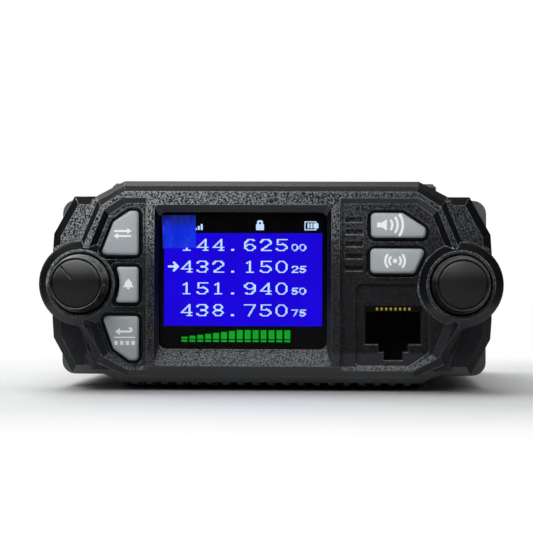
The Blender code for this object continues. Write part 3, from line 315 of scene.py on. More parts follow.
def grey_keytop():
    """Satin grey, its skirt darkened to near black by painted shade, which leaves a dark gap round each key.
    """
    f = Finish("grey_keytop")
    haze = f.noise(0.16, 2.0)
    colour = f.blend(f.noise(3.0), (0.36, 0.395, 0.415), (0.42, 0.455, 0.475))
    colour = f.blend(f.band(haze, 0.35, 0.75), colour, (0.47, 0.505, 0.525))
    # Painted shade: the skirt behind the keytop's face goes near black
    skirt = f.band(f.along("Y"), FACE_Y + 0.35, FACE_Y + 0.8)
    colour = f.blend(skirt, colour, (0.004, 0.004, 0.0045))
    roughness = f.band(f.noise(0.8), 0.2, 0.8, 0.34, 0.46)
    return f.set(Base_Color=colour, Roughness=roughness, Normal=f.bump(haze, 0.012, 0.5, f.rounding(0.3)))


def legend_white():
    """Pad-printed white ink with a slightly uneven edge, and a faint painted glow that keeps it bright."""
    f = Finish("legend_white")
    ink = f.noise(0.12, 2.0)
    colour = f.blend(ink, (0.78, 0.8, 0.8), (0.93, 0.94, 0.94))
    # The faint glow is painted light
    return f.set(Base_Color=colour, Roughness=f.band(ink, 0.3, 0.7, 0.4, 0.6),
                 Normal=f.bump(ink, 0.01, 0.4), Emission_Color=(1.0, 1.0, 1.0), Emission_Strength=0.12)


def knob_plastic():
    """Satin black with the fine sparkle of a spark-eroded mould, and a painted sheen on slopes that face up,
    stronger on the left.
    """
    f = Finish("knob_plastic")
    sparkle = f.noise(0.14, 3.0, 0.7)
    # Painted sheen: lighter where the surface slopes up, and more so on the left
    sloping_up = f.part_of(f.node("NewGeometry").outputs["Normal"], "Z")
    painted_sheen = f.times(f.band(sloping_up, 0.02, 0.34), f.band(f.along("X"), 20.0, -20.0, 0.4, 1.0))
    colour = f.blend(f.band(sparkle, 0.45, 0.75), (0.005, 0.0053, 0.006), (0.02, 0.021, 0.023))
    painted_sheen = f.times(painted_sheen, f.band(sparkle, 0.35, 0.6, 0.4, 1.0))
    colour = f.blend(painted_sheen, colour, (0.19, 0.195, 0.2))
    roughness = f.band(f.noise(0.5, 2.0), 0.3, 0.7, 0.34, 0.46)
    return f.set(Base_Color=colour, Roughness=roughness, Specular_IOR_Level=0.28,
                 Normal=f.bump(sparkle, 0.022, 0.6, f.rounding(0.1)))


def dark_rubber():
    f = Finish("dark_rubber")
    dust = f.noise(0.6, 4.0, 0.7)
    colour = f.blend(f.band(dust, 0.45, 0.8), (0.017, 0.017, 0.017), (0.06, 0.058, 0.055))
    return f.set(Base_Color=colour, Roughness=f.band(dust, 0.2, 0.8, 0.7, 0.9),
                 Normal=f.bump(dust, 0.03, 0.5))


def clear_lens():
    """Clear acrylic: see-through square on, mirror-like at a glance, with faint smears."""
    f = Finish("clear_lens")
    smear = f.band(f.noise(7.0, 4.0), 0.4, 0.8)
    gloss = f.node("BsdfGlossy")
    f.plug(gloss.inputs["Roughness"], f.maths("ADD", 0.04, f.times(smear, 0.07)))
    clear = f.node("BsdfTransparent")
    fresnel = f.node("Fresnel")
    fresnel.inputs["IOR"].default_value = 1.45
    mix = f.node("MixShader")
    f.plug(mix.inputs[0], f.maths("MAXIMUM", 0.0, f.maths("SUBTRACT", fresnel.outputs[0], 0.07)))
    f.plug(mix.inputs[1], clear.outputs[0])
    f.plug(mix.inputs[2], gloss.outputs[0])
    f.tree.links.new(mix.outputs[0], f.tree.nodes["Material Output"].inputs[0])
    return f.material


def lit(name, colour, strength=1.0):
    """A lit part of the display: even light with a faint grid and a slow drift in brightness."""
    f = Finish(name)
    drift = f.band(f.noise(12.0, 1.0), 0.3, 0.7, 0.93, 1.03)
    lines = f.maths("SINE", f.times(f.along("Z"), 2 * pi / PIXEL))
    glow = f.times(drift, f.maths("ADD", 1.0, f.times(lines, 0.05)))
    return f.set(Base_Color=(0.0, 0.0, 0.0), Roughness=0.3, Specular_IOR_Level=0.05, Emission_Color=colour,
                 Emission_Strength=f.times(glow, strength))


def display_black():
    f = Finish("display_black")
    haze = f.noise(5.0, 2.0)
    return f.set(Base_Color=f.blend(haze, (0.001, 0.001, 0.0015), (0.003, 0.003, 0.004)),
                 Specular_IOR_Level=0.1, Roughness=f.band(haze, 0.3, 0.7, 0.12, 0.2))


def blue_film():
    """The tinted pull tab of the protective film: glossy and wrinkled, its colour glowing as painted light,
    dark near its top and bright blue lower down and along its wrinkles.
    """
    f = Finish("blue_film")
    wrinkle = f.noise(2.4, 3.0, 0.6, (1.0, 1.0, 0.45))
    # Painted light: the tab is dark towards its top and a glowing bright blue lower down
    down = f.band(f.along("Z"), 38.6, 35.0)
    tone = f.blend(down, (0.0, 0.0, 0.035), (0.0, 0.012, 0.46))
    tone = f.blend(f.times(f.band(wrinkle, 0.35, 0.75), 0.5), tone, (0.0, 0.03, 0.62))
    return f.set(Base_Color=tone, Roughness=f.band(wrinkle, 0.3, 0.7, 0.18, 0.3), Coat_Weight=0.5,
                 Emission_Color=tone, Emission_Strength=0.75, Normal=f.bump(wrinkle, 0.12, 0.6))


def white_plastic():
    f = Finish("white_plastic")
    haze = f.noise(0.4, 3.0)
    return f.set(Base_Color=f.blend(haze, (0.68, 0.68, 0.66), (0.8, 0.8, 0.78)),
                 Roughness=f.band(haze, 0.3, 0.7, 0.45, 0.6), Normal=f.bump(haze, 0.02, 0.4))


def green_board():
    """Solder mask over copper traces."""
    f = Finish("green_board")
    traces = f.band(f.cells(1.6, "DISTANCE_TO_EDGE"), 0.03, 0.06)
    colour = f.blend(traces, (0.02, 0.13, 0.055), (0.008, 0.06, 0.026))
    return f.set(Base_Color=colour, Roughness=f.band(f.noise(0.5), 0.3, 0.7, 0.25, 0.4),
                 Normal=f.bump(traces, 0.04, 0.5))


def brushed(name, first, second, roughness, stretch=(1.0, 1.0, 14.0)):
    """A bare or plated metal with fine drawn lines and a cloudy tarnish."""
    f = Finish(name)
    lines = f.noise(0.5, 3.0, 0.7, stretch)
    cloud = f.band(f.noise(5.0, 3.0), 0.3, 0.75)
    colour = f.blend(cloud, first, second)
    return f.set(Base_Color=colour, Metallic=1.0, Normal=f.bump(lines, 0.012, 0.5, f.rounding(0.1)),
                 Roughness=f.band(lines, 0.25, 0.75, roughness - 0.06, roughness + 0.12))


def socket_gold():
    """Gilt springs: painted light makes them bright and faintly glowing where they fold over at the mouth of
    the socket, and painted shade loses them in the dark behind it.
    """
    f = Finish("socket_gold")
    lines = f.noise(0.3, 3.0, 0.7, (14.0, 1.0, 1.0))
    # Painted light at the mouth of the socket, painted shade behind it
    foremost = f.band(f.along("Y"), FACE_Y + 5.3, FACE_Y + 4.9)
    mouth = f.times(foremost, f.band(f.along("Z"), 17.4, 17.8))
    colour = f.blend(mouth, (0.05, 0.035, 0.01), (0.95, 0.74, 0.3))
    # The glow at the mouth is painted light as well
    return f.set(Base_Color=colour, Metallic=1.0, Normal=f.bump(lines, 0.01, 0.5),
                 Roughness=f.band(lines, 0.25, 0.75, 0.22, 0.4), Emission_Color=(0.75, 0.55, 0.1),
                 Emission_Strength=f.times(mouth, 0.45))


def cone_paper():
    f = Finish("cone_paper")
    fibre = f.noise(0.35, 5.0, 0.7, (1.0, 3.0, 1.0))
    return f.set(Base_Color=f.blend(fibre, (0.02, 0.02, 0.02), (0.07, 0.068, 0.065)), Roughness=0.92,
                 Normal=f.bump(fibre, 0.08, 0.7))


def ribbon():
    """A flat cable: parallel conductors under a pale film."""
    f = Finish("ribbon")
    wave = f.maths("SINE", f.times(f.along("X"), 2 * pi))
    tin = f.band(wave, 0.1, 0.5)
    return f.set(Base_Color=f.blend(tin, (0.72, 0.66, 0.55), (0.5, 0.5, 0.5)), Roughness=0.4,
                 Metallic=f.times(tin, 0.6), Normal=f.bump(wave, 0.03, 0.6))


def wire_sheath(name, first, second):
    f = Finish(name)
    scuff = f.noise(0.8, 4.0, 0.6)
    return f.set(Base_Color=f.blend(f.band(scuff, 0.35, 0.75), first, second), Coat_Weight=0.2,
                 Roughness=f.band(scuff, 0.3, 0.7, 0.34, 0.5), Normal=f.bump(scuff, 0.02, 0.5))


def insulator():
    f = Finish("insulator")
    haze = f.noise(0.5, 2.0)
    return f.set(Base_Color=f.blend(haze, (0.78, 0.77, 0.73), (0.9, 0.89, 0.86)), Subsurface_Weight=0.1,
                 Subsurface_Radius=(0.002, 0.002, 0.002), Roughness=f.band(haze, 0.3, 0.7, 0.32, 0.45),
                 Normal=f.bump(haze, 0.015, 0.4))


PIXEL = 0.219  # pitch of the display's pixels
PIXEL_GAP = 0.006

FINISHES = {
    "black_plastic": black_plastic(),
    "black_paint": black_paint(),
    "cast_metal": cast_metal(),
    "grey_keytop": grey_keytop(),
    "knob_plastic": knob_plastic(),
    "dark_rubber": dark_rubber(),
    "clear_lens": clear_lens(),
    "display_glass": display_black(),
    "white_plastic": white_plastic(),
    "green_board": green_board(),
    "bare_steel": brushed("bare_steel", (0.5, 0.5, 0.5), (0.62, 0.62, 0.61), 0.3),
    "dark_steel": brushed("dark_steel", (0.045, 0.045, 0.048), (0.09, 0.088, 0.085), 0.34),
    "tin_plate": brushed("tin_plate", (0.6, 0.6, 0.58), (0.72, 0.72, 0.7), 0.28),
    "gold": brushed("plated_gold", (0.9, 0.66, 0.24), (0.95, 0.76, 0.36), 0.2),
    "nickel": brushed("nickel", (0.58, 0.57, 0.54), (0.72, 0.71, 0.68), 0.22, (1.0, 10.0, 1.0)),
    "insulator": insulator(),
    "cone_paper": cone_paper(),
    "ribbon": ribbon(),
    "red_wire": wire_sheath("red_wire", (0.42, 0.012, 0.01), (0.58, 0.03, 0.022)),
    "black_wire": wire_sheath("black_wire", (0.012, 0.012, 0.012), (0.035, 0.035, 0.035)),
}


# --- mesh helpers
LEAST_ANGLE = radians(28)  # edges between faces that turn less than this stay as they are


def placed(made):
    bpy.context.scene.collection.objects.link(made)
    return made


def scene_object(name, bm, material):
    bmesh.ops.recalc_face_normals(bm, faces=bm.faces)
    mesh = bpy.data.meshes.new(name)
    bm.to_mesh(mesh)
    bm.free()
    mesh.materials.append(material)
    return placed(bpy.data.objects.new(name, mesh))


def smooth(made, angle=35.0):
    made.data.shade_smooth()
    made.data.set_sharp_from_angle(angle=radians(angle))
    return made


def whole_mesh(node):
    """The CAD node's shape as a fresh mesh, its corners joined and its flat faces in one piece."""
    source = frame["nodes"][node].data
    bm = bmesh.new()
    corners = [bm.verts.new(vertex.co) for vertex in source.vertices]
    for face in source.polygons:
        bm.faces.new([corners[i] for i in face.vertices])
    bmesh.ops.remove_doubles(bm, verts=bm.verts, dist=1e-6)
    bmesh.ops.dissolve_limit(bm, angle_limit=radians(0.4), verts=bm.verts, edges=bm.edges)
    return bm


def skin(bm, rings, closed=False, ends=False):
    """Joins rings of corners, one to the next; a ring of one corner is a tip, and ends adds end faces."""
    pairs = list(zip(rings, rings[1:])) + ([(rings[-1], rings[0])] if closed else [])
    count = max(len(ring) for ring in rings)
    for near, far in pairs:
        for k in range(count):
            m = (k + 1) % count
            corners = (near[k % len(near)], near[m % len(near)], far[m % len(far)], far[k % len(far)])
            bm.faces.new(list(dict.fromkeys(corners)))
    if ends:
        bm.faces.new(rings[0])
        bm.faces.new(rings[-1])


def with_modifiers(made):
    """made, with its modifiers worked into its mesh."""
    graph = bpy.context.evaluated_depsgraph_get()
    mesh = bpy.data.meshes.new_from_object(made.evaluated_get(graph))
    made.modifiers.clear()
    made.data = mesh
    return made


def room_beside(edge):
    """The shortest edge that a rounding along this edge would run into."""
    beside = {other for vertex in edge.verts for other in vertex.link_edges}
    return min(other.calc_length() for other in beside)


def softened(made, width, segments):
    """Rounds each sharp edge as far as the faces beside it leave room."""
    bm = bmesh.new()
    bm.from_mesh(made.data)
    weight = bm.edges.layers.float.new("bevel_weight_edge")
    for edge in bm.edges:
        if len(edge.link_faces) == 2 and edge.calc_face_angle() > LEAST_ANGLE:
            edge[weight] = min(1.0, room_beside(edge) / (2.4 * width * MM))
    bm.to_mesh(made.data)
    bm.free()
    modifier = made.modifiers.new("Soft edges", "BEVEL")
    modifier.width = width * MM
    modifier.segments = segments
    modifier.limit_method = "WEIGHT"
    modifier.use_clamp_overlap = False
    modifier.miter_outer = "MITER_ARC"
    return with_modifiers(made)


NODE_SLOTS = {node: obj.data.materials[0].name for node, obj in frame["nodes"].items()}


def body_of(node):
    return frame["nodes"][node]["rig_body"]


def stand_in(made, node):
    """made is shown instead of the CAD node, on the same body."""
    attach(made, body_of(node))
    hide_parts(node)
    return made


def extra(made, body):
    """A piece that the CAD has no node for."""
    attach(made, body)
    return made


def refined(node, name, width, material=None, segments=2):
    """A stand-in for a CAD node: the same shape with softened edges and a full finish."""
    made = scene_object(name, whole_mesh(node), material or FINISHES[NODE_SLOTS[node]])
    softened(made, width, segments)
    return stand_in(smooth(made), node)


def solid(name, polygons, y_front, thickness, material, hair=0.0):
    """Flat pieces with (x, z) outlines in one mesh; each stands a hair in front of the one before it."""
    bm = bmesh.new()
    for index, polygon in enumerate(polygons):
        y_near = y_front - hair * index
        near = [bm.verts.new((x * MM, y_near * MM, z * MM)) for x, z in polygon]
        far = [bm.verts.new((x * MM, (y_front + thickness) * MM, z * MM)) for x, z in polygon]
        skin(bm, (near, far), ends=True)
    return scene_object(name, bm, material)


def rectangle(x0, z0, x1, z1):
    return [(x0, z0), (x1, z0), (x1, z1), (x0, z1)]


# --- key legends
PEN = 0.46  # width of the printed lines


def stroke(points, width):
    """A round-ended line of the given width through the points, as one outline per segment."""
    outlines = []
    for start, end in zip(points, points[1:]):
        start, end = Vector(start), Vector(end)
        along = (end - start).normalized() * (width / 2)
        outline = []
        for middle, first in ((end, -90), (start, 90)):
            for k in range(5):
                turn = Matrix.Rotation(radians(first + 45 * k), 2)
                outline.append(tuple(middle + turn @ along))
        outlines.append(outline)
    return outlines


def arc(centre, radius, first, last, steps=7):
    made = []
    for k in range(steps + 1):
        angle = radians(first + (last - first) * k / steps)
        made.append((centre[0] + radius * cos(angle), centre[1] + radius * sin(angle)))
    return made


def swap_icon():
    """Two arrows, one each way: changes between the two tuning modes."""
    outlines = stroke([(-1.7, 0.55), (1.2, 0.55)], PEN) + stroke([(-1.2, -0.55), (1.7, -0.55)], PEN)
    outlines.append([(1.0, 1.2), (2.0, 0.55), (1.0, -0.1)])
    outlines.append([(-1.0, 0.1), (-2.0, -0.55), (-1.0, -1.2)])
    return outlines


def bell_icon():
    dome = arc((0.0, 0.1), 0.72, 180, 0, 8)
    outline = [(-1.15, -0.62), (-0.78, -0.25)] + dome + [(0.78, -0.25), (1.15, -0.62)]
    return [outline, arc((0.0, -0.68), 0.34, 180, 360, 6), arc((0.0, 0.86), 0.2, 0, 360, 8)[:-1]]


def back_and_menu_icon():
    """A return arrow over a line, with four dots under it."""
    outlines = [[(-2.0, 1.2), (-1.0, 1.95), (-1.0, 0.45)]]
    outlines += stroke([(-1.2, 1.2), (1.1, 1.2)], PEN)
    outlines += stroke(arc((1.1, 1.55), 0.35, -90, 90, 4), PEN)
    outlines += stroke([(-2.1, 0.0), (2.1, 0.0)], PEN / 2)
    for k in range(4):
        x = -1.8 + 1.2 * k
        outlines.append(rectangle(x - 0.36, -1.6, x + 0.36, -0.75))
    return outlines


def speaker_icon():
    outlines = [[(-2.9, -0.45), (-2.0, -0.45), (-1.1, -1.05), (-1.1, 1.05), (-2.0, 0.45), (-2.9, 0.45)]]
    for k in range(3):
        outlines += stroke(arc((-1.5, 0.0), 1.4 + 0.95 * k, -34, 34, 6), PEN)
    return outlines


def waves_icon():
    """A point with waves leaving it on both sides."""
    outlines = [arc((0.0, 0.0), 0.45, 0, 360, 12)[:-1]]
    for radius in (1.1, 1.85):
        outlines += stroke(arc((0.0, 0.0), radius, -38, 38, 6), PEN)
        outlines += stroke(arc((0.0, 0.0), radius, 142, 218, 6), PEN)
    return outlines


LEGENDS = {
    "memory_key": (swap_icon, 0.55, -0.15, 1.0),
    "call_key": (bell_icon, 0.4, 0.1, 1.1),
    "exit_key": (back_and_menu_icon, 1.0, 0.2, 1.05),
    "monitor_key": (speaker_icon, -1.2, 0.05, 1.2),
    "broadcast_key": (waves_icon, -0.7, 0.0, 1.15),
}


def face_of(bm):
    """The foremost flat face of a mesh that looks towards -y."""
    front = min(vertex.co.y for vertex in bm.verts)
    faces = [f for f in bm.faces if all(v.co.y < front + 1e-6 for v in f.verts)]
    return max(faces, key=lambda f: f.calc_area())


def set_in(loop, distance):
    """Where the corners of a closed (x, z) loop go when each side moves inwards by distance."""
    area = sum(a[0] * b[1] - b[0] * a[1] for a, b in zip(loop, loop[1:] + loop[:1]))
    way = copysign(distance, area)
    moved = []
    for before, here, after in zip(loop[-1:] + loop[:-1], loop, loop[1:] + loop[:1]):
        first = (Vector(here) - Vector(before)).normalized()
        second = (Vector(after) - Vector(here)).normalized()
        inwards = Vector((-first.y - second.y, first.x + second.x)).normalized()
        share = max(0.5, inwards.dot(Vector((-first.y, first.x))))
        moved.append(tuple(Vector(here) + inwards * (way / share)))
    return moved


def crowned(bm, steps):
    """Swells the front face of a keytop: each step sets its outline in and lifts it forward."""
    face = face_of(bm)
    rim = list(face.verts)
    bm.faces.remove(face)
    for distance, lift in steps:
        places = set_in([(v.co.x, v.co.z) for v in rim], distance * MM)
        forward = rim[0].co.y - lift * MM
        inner = [bm.verts.new((x, forward, z)) for x, z in places]
        skin(bm, (rim, inner))
        rim = inner
    bm.faces.new(rim)


def keys():
    """Keytops with a rounded shoulder and a faint crown, and a printed legend on each."""
    ink = legend_white()
    for node, (icon, dx, dz, scale) in LEGENDS.items():
        bm = whole_mesh(node)
        crowned(bm, ((0.07, 0.05), (0.09, 0.03)))
        made = scene_object(node + "_top", bm, FINISHES["grey_keytop"])
        stand_in(smooth(made, 60.0), node)
        low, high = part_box(node)
        front = min(vertex.co.y for vertex in made.data.vertices) / MM
        centre = (low + high) / (2 * MM)
        left, up = centre.x + dx, centre.z + dz
        outlines = [[(x * scale + left, z * scale + up) for x, z in outline] for outline in icon()]
        legend = solid(node + "_legend", outlines, front - 0.03, 0.08, ink, hair=0.002)
        extra(legend, body_of(node))


# --- display
# Each digit is drawn with a two-pixel pen on a grid of twelve by twelve pixels, from the top left.
STROKES = {
    "0": [[(3.5, 0), (7.5, 0), (10.5, 3), (10.5, 8), (7.5, 11), (3.5, 11), (0.5, 8), (0.5, 3), (3.5, 0)]],
    "1": [[(2.5, 2), (5.5, 0), (5.5, 11)], [(2, 11), (9, 11)]],
    "2": [[(0.5, 2.5), (3, 0), (8, 0), (10.5, 2.5), (10.5, 4), (1, 10.5), (1, 11), (11, 11)]],
    "3": [[(0.5, 1.5), (3, 0), (8, 0), (10.5, 2.5), (8, 5.3), (4, 5.3)],
          [(8, 5.3), (10.5, 8), (8, 11), (3, 11), (0.5, 9.5)]],
    "4": [[(8.5, 11), (8.5, 0), (0.5, 7.8), (11, 7.8)], [(6, 11), (11, 11)]],
    "5": [[(10.5, 0), (1.5, 0), (1, 5), (7.5, 4.7), (10.5, 7), (10.5, 8.5), (7.5, 11), (2.5, 11),
           (0.5, 9.5)]],
    "6": [[(9.5, 0.8), (7.5, 0), (4, 0), (0.5, 3.5), (0.5, 8.5), (3.5, 11), (7.5, 11), (10.5, 8.5),
           (10.5, 7.5), (7.5, 5), (3.5, 5), (0.8, 7)]],
    "7": [[(0.5, 0), (10.8, 0), (4.5, 11)]],
    "8": [[(3.5, 0), (7.5, 0), (10, 2.5), (7.5, 5.3), (3.5, 5.3), (1, 2.5), (3.5, 0)],
          [(3.5, 5.3), (7.5, 5.3), (10.8, 8), (7.5, 11), (3.5, 11), (0.3, 8), (3.5, 5.3)]],
    ".": [[(3.5, 10.5), (4.5, 10.5)]],
    ">": [[(0, 5.5), (8, 5.5)], [(5.5, 1.5), (9.5, 5.5), (5.5, 9.5)], [(6.5, 3.5), (6.5, 7.5)]],
}
STROKES["9"] = [[(11 - x, 11 - z) for x, z in line] for line in STROKES["6"]]

SCREEN_WIDE, SCREEN_TALL = 160, 128
SCREEN_LEFT = -6.2 - SCREEN_WIDE * PIXEL / 2
SCREEN_TOP = 37.79
HEADER_TALL, FOOTER_TALL = 15, 19
ROW_PITCH = 22
ROW_TOP = HEADER_TALL + 6
LARGE_START, SMALL_START = 17, 129  # the columns where each row's large and small digits start
LARGE_PITCH, SMALL_PITCH = 16, 8
CHANNELS = (("144.625", "00"), ("432.150", "25"), ("151.940", "50"), ("438.750", "75"))


def near_line(column, row, start, end, pen):
    start, end, here = Vector(start), Vector(end), Vector((column, row))
    along = end - start
    share = max(0.0, min(1.0, (here - start).dot(along) / max(along.length_squared, 1e-9)))
    return (start + along * share - here).length < pen


def glyph_runs(lines, size=12, scale=1.0, pen=0.8):
    """Runs of lit pixels, as (first column, last column, row), for lines on the digit grid."""
    runs = []
    for row in range(size):
        first = None
        for column in range(size + 1):
            on = column < size and any(
                near_line(column, row, [c * scale for c in a], [c * scale for c in b], pen)
                for line in lines for a, b in zip(line, line[1:])
            )
            if on and first is None:
                first = column
            if not on and first is not None:
                runs.append((first, column, row))
                first = None
    return runs


def screen_rectangle(left, top, right, bottom):
    """A block of screen pixels as an (x, z) outline, with half a pixel gap taken off each side."""
    half_gap = PIXEL_GAP / 2
    return rectangle(
        SCREEN_LEFT + left * PIXEL + half_gap, SCREEN_TOP - bottom * PIXEL + half_gap,
        SCREEN_LEFT + right * PIXEL - half_gap, SCREEN_TOP - top * PIXEL - half_gap,
    )


def drawn(lines, column, row, **options):
    return [screen_rectangle(column + a, row + z, column + b, row + z + 1)
            for a, b, z in glyph_runs(lines, **options)]


def lit_layer(name, outlines, proud, material):
    """Lit shapes standing a little proud of the display panel."""
    panel_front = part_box("display_panel")[0].y / MM
    extra(solid(name, outlines, panel_front - proud, 0.04, material), "radio")


def display():
    field = [screen_rectangle(0, HEADER_TALL, SCREEN_WIDE, SCREEN_TALL - FOOTER_TALL)]
    lit_layer("display_blue_field", field, 0.03, lit("display_blue", (0.010, 0.001, 0.72)))
    blocks = []
    for index, (large, small) in enumerate(CHANNELS):
        top = ROW_TOP + ROW_PITCH * index
        for place, sign in enumerate(large):
            blocks += drawn(STROKES[sign], LARGE_START + LARGE_PITCH * place, top)
        for place, sign in enumerate(small):
            column = SMALL_START + SMALL_PITCH * place
            blocks += drawn(STROKES[sign], column, top + 5, size=7, scale=0.52, pen=0.62)
    blocks += drawn(STROKES[">"], 4, ROW_TOP + ROW_PITCH)
    blocks += header_icons()
    lit_layer("display_digits", blocks, 0.06, lit("display_digits_light", (0.55, 0.74, 1.0), 1.05))
    lit_layer("display_level_bar", level_blocks(), 0.06, lit("display_green", (0.005, 0.36, 0.02)))


def header_icons():
    """Signal bars, a padlock and a battery along the top of the screen."""
    signal = [(31 + 3 * k, 10 - 2 * k, 33 + 3 * k, 12) for k in range(3)]
    padlock = [(93, 6, 101, 12), (94, 3, 96, 6), (98, 3, 100, 6), (95, 2, 99, 4)]
    left, top, right, bottom = 142, 3, 154, 12
    battery = [(left, top, right, top + 1), (left, bottom - 1, right, bottom), (left, top, left + 1, bottom),
               (right - 1, top, right, bottom), (right, top + 2, right + 2, bottom - 2)]
    battery += [(left + 3 * k, top + 2, left + 3 * k + 2, bottom - 2) for k in (1, 2, 3)]
    return [screen_rectangle(*block) for block in signal + padlock + battery]


def level_blocks():
    """A received-signal bar: blocks that grow, each with a thin strip under it."""
    blocks = []
    top, bottom = SCREEN_TALL - FOOTER_TALL + 4, SCREEN_TALL - 3
    for k in range(14):
        left = 18 + 8 * k
        rise = top + max(0, 7 - k)
        blocks.append(screen_rectangle(left, rise, left + 6, bottom - 3))
        blocks.append(screen_rectangle(left, bottom - 2, left + 6, bottom))
    return blocks


def film_tab():
    """The blue pull tab, stuck to the lens along its top and lifting slightly at its lower edge."""
    left, right, top, bottom = -24.1, -16.6, 38.4, 31.0
    across, down, thick = 16, 18, 0.07
    bm = bmesh.new()
    sheets = []
    for offset in (0.0, thick):
        grid = []
        for j in range(down + 1):
            v = j / down
            row = []
            for i in range(across + 1):
                u = i / across
                lift = 0.12 + 0.42 * v ** 3 * (0.55 + 0.45 * u) + 0.03 * sin(7.0 * u + 3.0 * v)
                x = left + (right - left) * u + 0.25 * v * (1 - u)
                z = top + (bottom - top) * v + 0.25 * u * v
                row.append(bm.verts.new((x * MM, (LENS_Y - lift + offset) * MM, z * MM)))
            grid.append(row)
        sheets.append(grid)
    for grid in sheets:
        for j in range(down):
            for i in range(across):
                bm.faces.new((grid[j][i], grid[j][i + 1], grid[j + 1][i + 1], grid[j + 1][i]))
    rim = [(0, i) for i in range(across)] + [(j, across) for j in range(down)]
    rim += [(down, i) for i in range(across, 0, -1)] + [(j, 0) for j in range(down, 0, -1)]
    skin(bm, [[sheet[j][i] for j, i in rim] for sheet in sheets])
    extra(smooth(scene_object("film_pull_tab", bm, blue_film())), "radio")


# --- turned parts
def place_on(axis, centre, radius, angle, along):
    """A point at a radius and angle round a line through centre along x, y or z."""
    across, up = radius * cos(angle), radius * sin(angle)
    offset = {"X": (along, across, up), "Y": (across, along, up), "Z": (across, up, along)}[axis]
    return tuple((c + d) * MM for c, d in zip(centre, offset))


def add_lathe(bm, centre, profile, segments, axis="Y", closed=False, swell=None):
    """Adds a (radius, along) profile turned about an axis; swell(angle, along) changes the radius."""
    loops = []
    for radius, along in profile:
        if radius < 1e-6:
            loops.append([bm.verts.new(place_on(axis, centre, 0.0, 0.0, along))])
            continue
        loop = []
        for k in range(segments):
            angle = 2 * pi * k / segments
            reach = radius + (swell(angle, along) if swell else 0.0)
            loop.append(bm.verts.new(place_on(axis, centre, reach, angle, along)))
        loops.append(loop)
    skin(bm, loops, closed)


def lathe(name, centre, profile, segments, material, **options):
    bm = bmesh.new()
    add_lathe(bm, centre, profile, segments, **options)
    return scene_object(name, bm, material)


def middle_of(node):
    low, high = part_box(node)
    return [(low[i] + high[i]) / 2 / MM for i in range(3)]


def carved(made, cutter):
    """made with the closed shape of cutter taken out of it."""
    modifier = made.modifiers.new("Carve", "BOOLEAN")
    modifier.operation = "DIFFERENCE"
    modifier.solver = "EXACT"
    modifier.object = cutter
    with_modifiers(made)
    bpy.data.objects.remove(cutter)
    return made


# --- knobs
FLUTES = 14
FLUTE_DEPTH = 0.2
POINTER_ANGLE = radians(132)  # from the right-hand side round to the top
POINTER_SECTION = ((-0.42, -0.3), (0.42, -0.3), (0.0, 0.5))  # (across, y) corners of the groove's V


def knob(node):
    """A knob with a gently domed face in a raised rim, and shallow scallops round its tapered side."""
    low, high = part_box(node)
    front, deep = low.y / MM, (high.y - low.y) / MM
    x, _, z = middle_of(node)

    def scallop(angle, along):
        share = min(1.0, max(0.0, (along - front - 1.0) / 0.7), max(0.0, (front + 6.8 - along) / 0.7))
        return -FLUTE_DEPTH * share * max(0.0, cos(FLUTES * angle)) ** 2

    face = [(5.05 * k / 12, 0.75 * (k / 12) ** 2) for k in range(13)]
    groove_and_rim = [(5.17, 0.86), (5.2, 1.15), (5.36, 1.15), (5.38, 0.68), (5.44, 0.54), (5.55, 0.49),
                      (5.66, 0.54), (5.74, 0.7)]
    side = [(5.76 + 0.24 * k / 8, 0.95 + 5.6 * k / 8) for k in range(9)]
    skirt = [(6.12, 6.8), (6.34, 7.05), (6.4, 7.3), (6.4, deep - 0.15), (6.25, deep)]
    hollow = [(3.15, deep), (3.15, 2.6), (0.0, 2.6)]
    profile = [(radius, front + along) for radius, along in face + groove_and_rim + side + skirt + hollow]
    made = lathe(node + "_grip", (x, 0.0, z), profile, 12 * FLUTES, FINISHES["knob_plastic"], swell=scallop)
    if node == "volume_knob":
        carved(made, pointer_cutter(x, z, front))
    stand_in(smooth(made, 40.0), node)


def pointer_cutter(x, z, front):
    """A shallow V from near the middle of the volume knob out to its rim."""
    along = Vector((cos(POINTER_ANGLE), 0.0, sin(POINTER_ANGLE)))
    across = Vector((-along.z, 0.0, along.x))
    bm = bmesh.new()
    rings = []
    for distance, dome in ((1.3, 0.0), (3.4, 0.3), (5.0, 0.7)):
        middle = Vector((x, front + dome, z)) + along * distance
        corners = [middle + across * u + Vector((0.0, y, 0.0)) for u, y in POINTER_SECTION]
        rings.append([bm.verts.new(corner * MM) for corner in corners])
    skin(bm, rings, ends=True)
    return scene_object("pointer_cutter", bm, FINISHES["knob_plastic"])


# --- screws
# The axis each kind of screw lies on, and which way its head looks; 0 is outwards, above or below.
SCREW_WAYS = {"cover_screw": ("Z", 1), "bezel_screw": ("Z", 0), "board_screw": ("Z", 1),
              "fan_screw": ("Y", 1)}
HEAD_TALL = 0.85
# (share of the head's radius, depth below its crown)
HEAD_PROFILE = ((0.0, 0.0), (0.42, 0.02), (0.7, 0.12), (0.9, 0.32), (1.0, 0.58), (0.98, HEAD_TALL))
SHANK_RADIUS, ROOT_RADIUS = 1.05, 0.86
SCREW_PITCH = 0.45


def screws():
    """Pan-head screws with a rounded head, a cross recess and a threaded shank."""
    for node in NODE_SLOTS:
        kind = node.rpartition("_")[0]
        if kind in SCREW_WAYS:
            axis, way = SCREW_WAYS[kind]
            screw(node, axis, way or (1 if middle_of(node)[2] > 20.0 else -1))


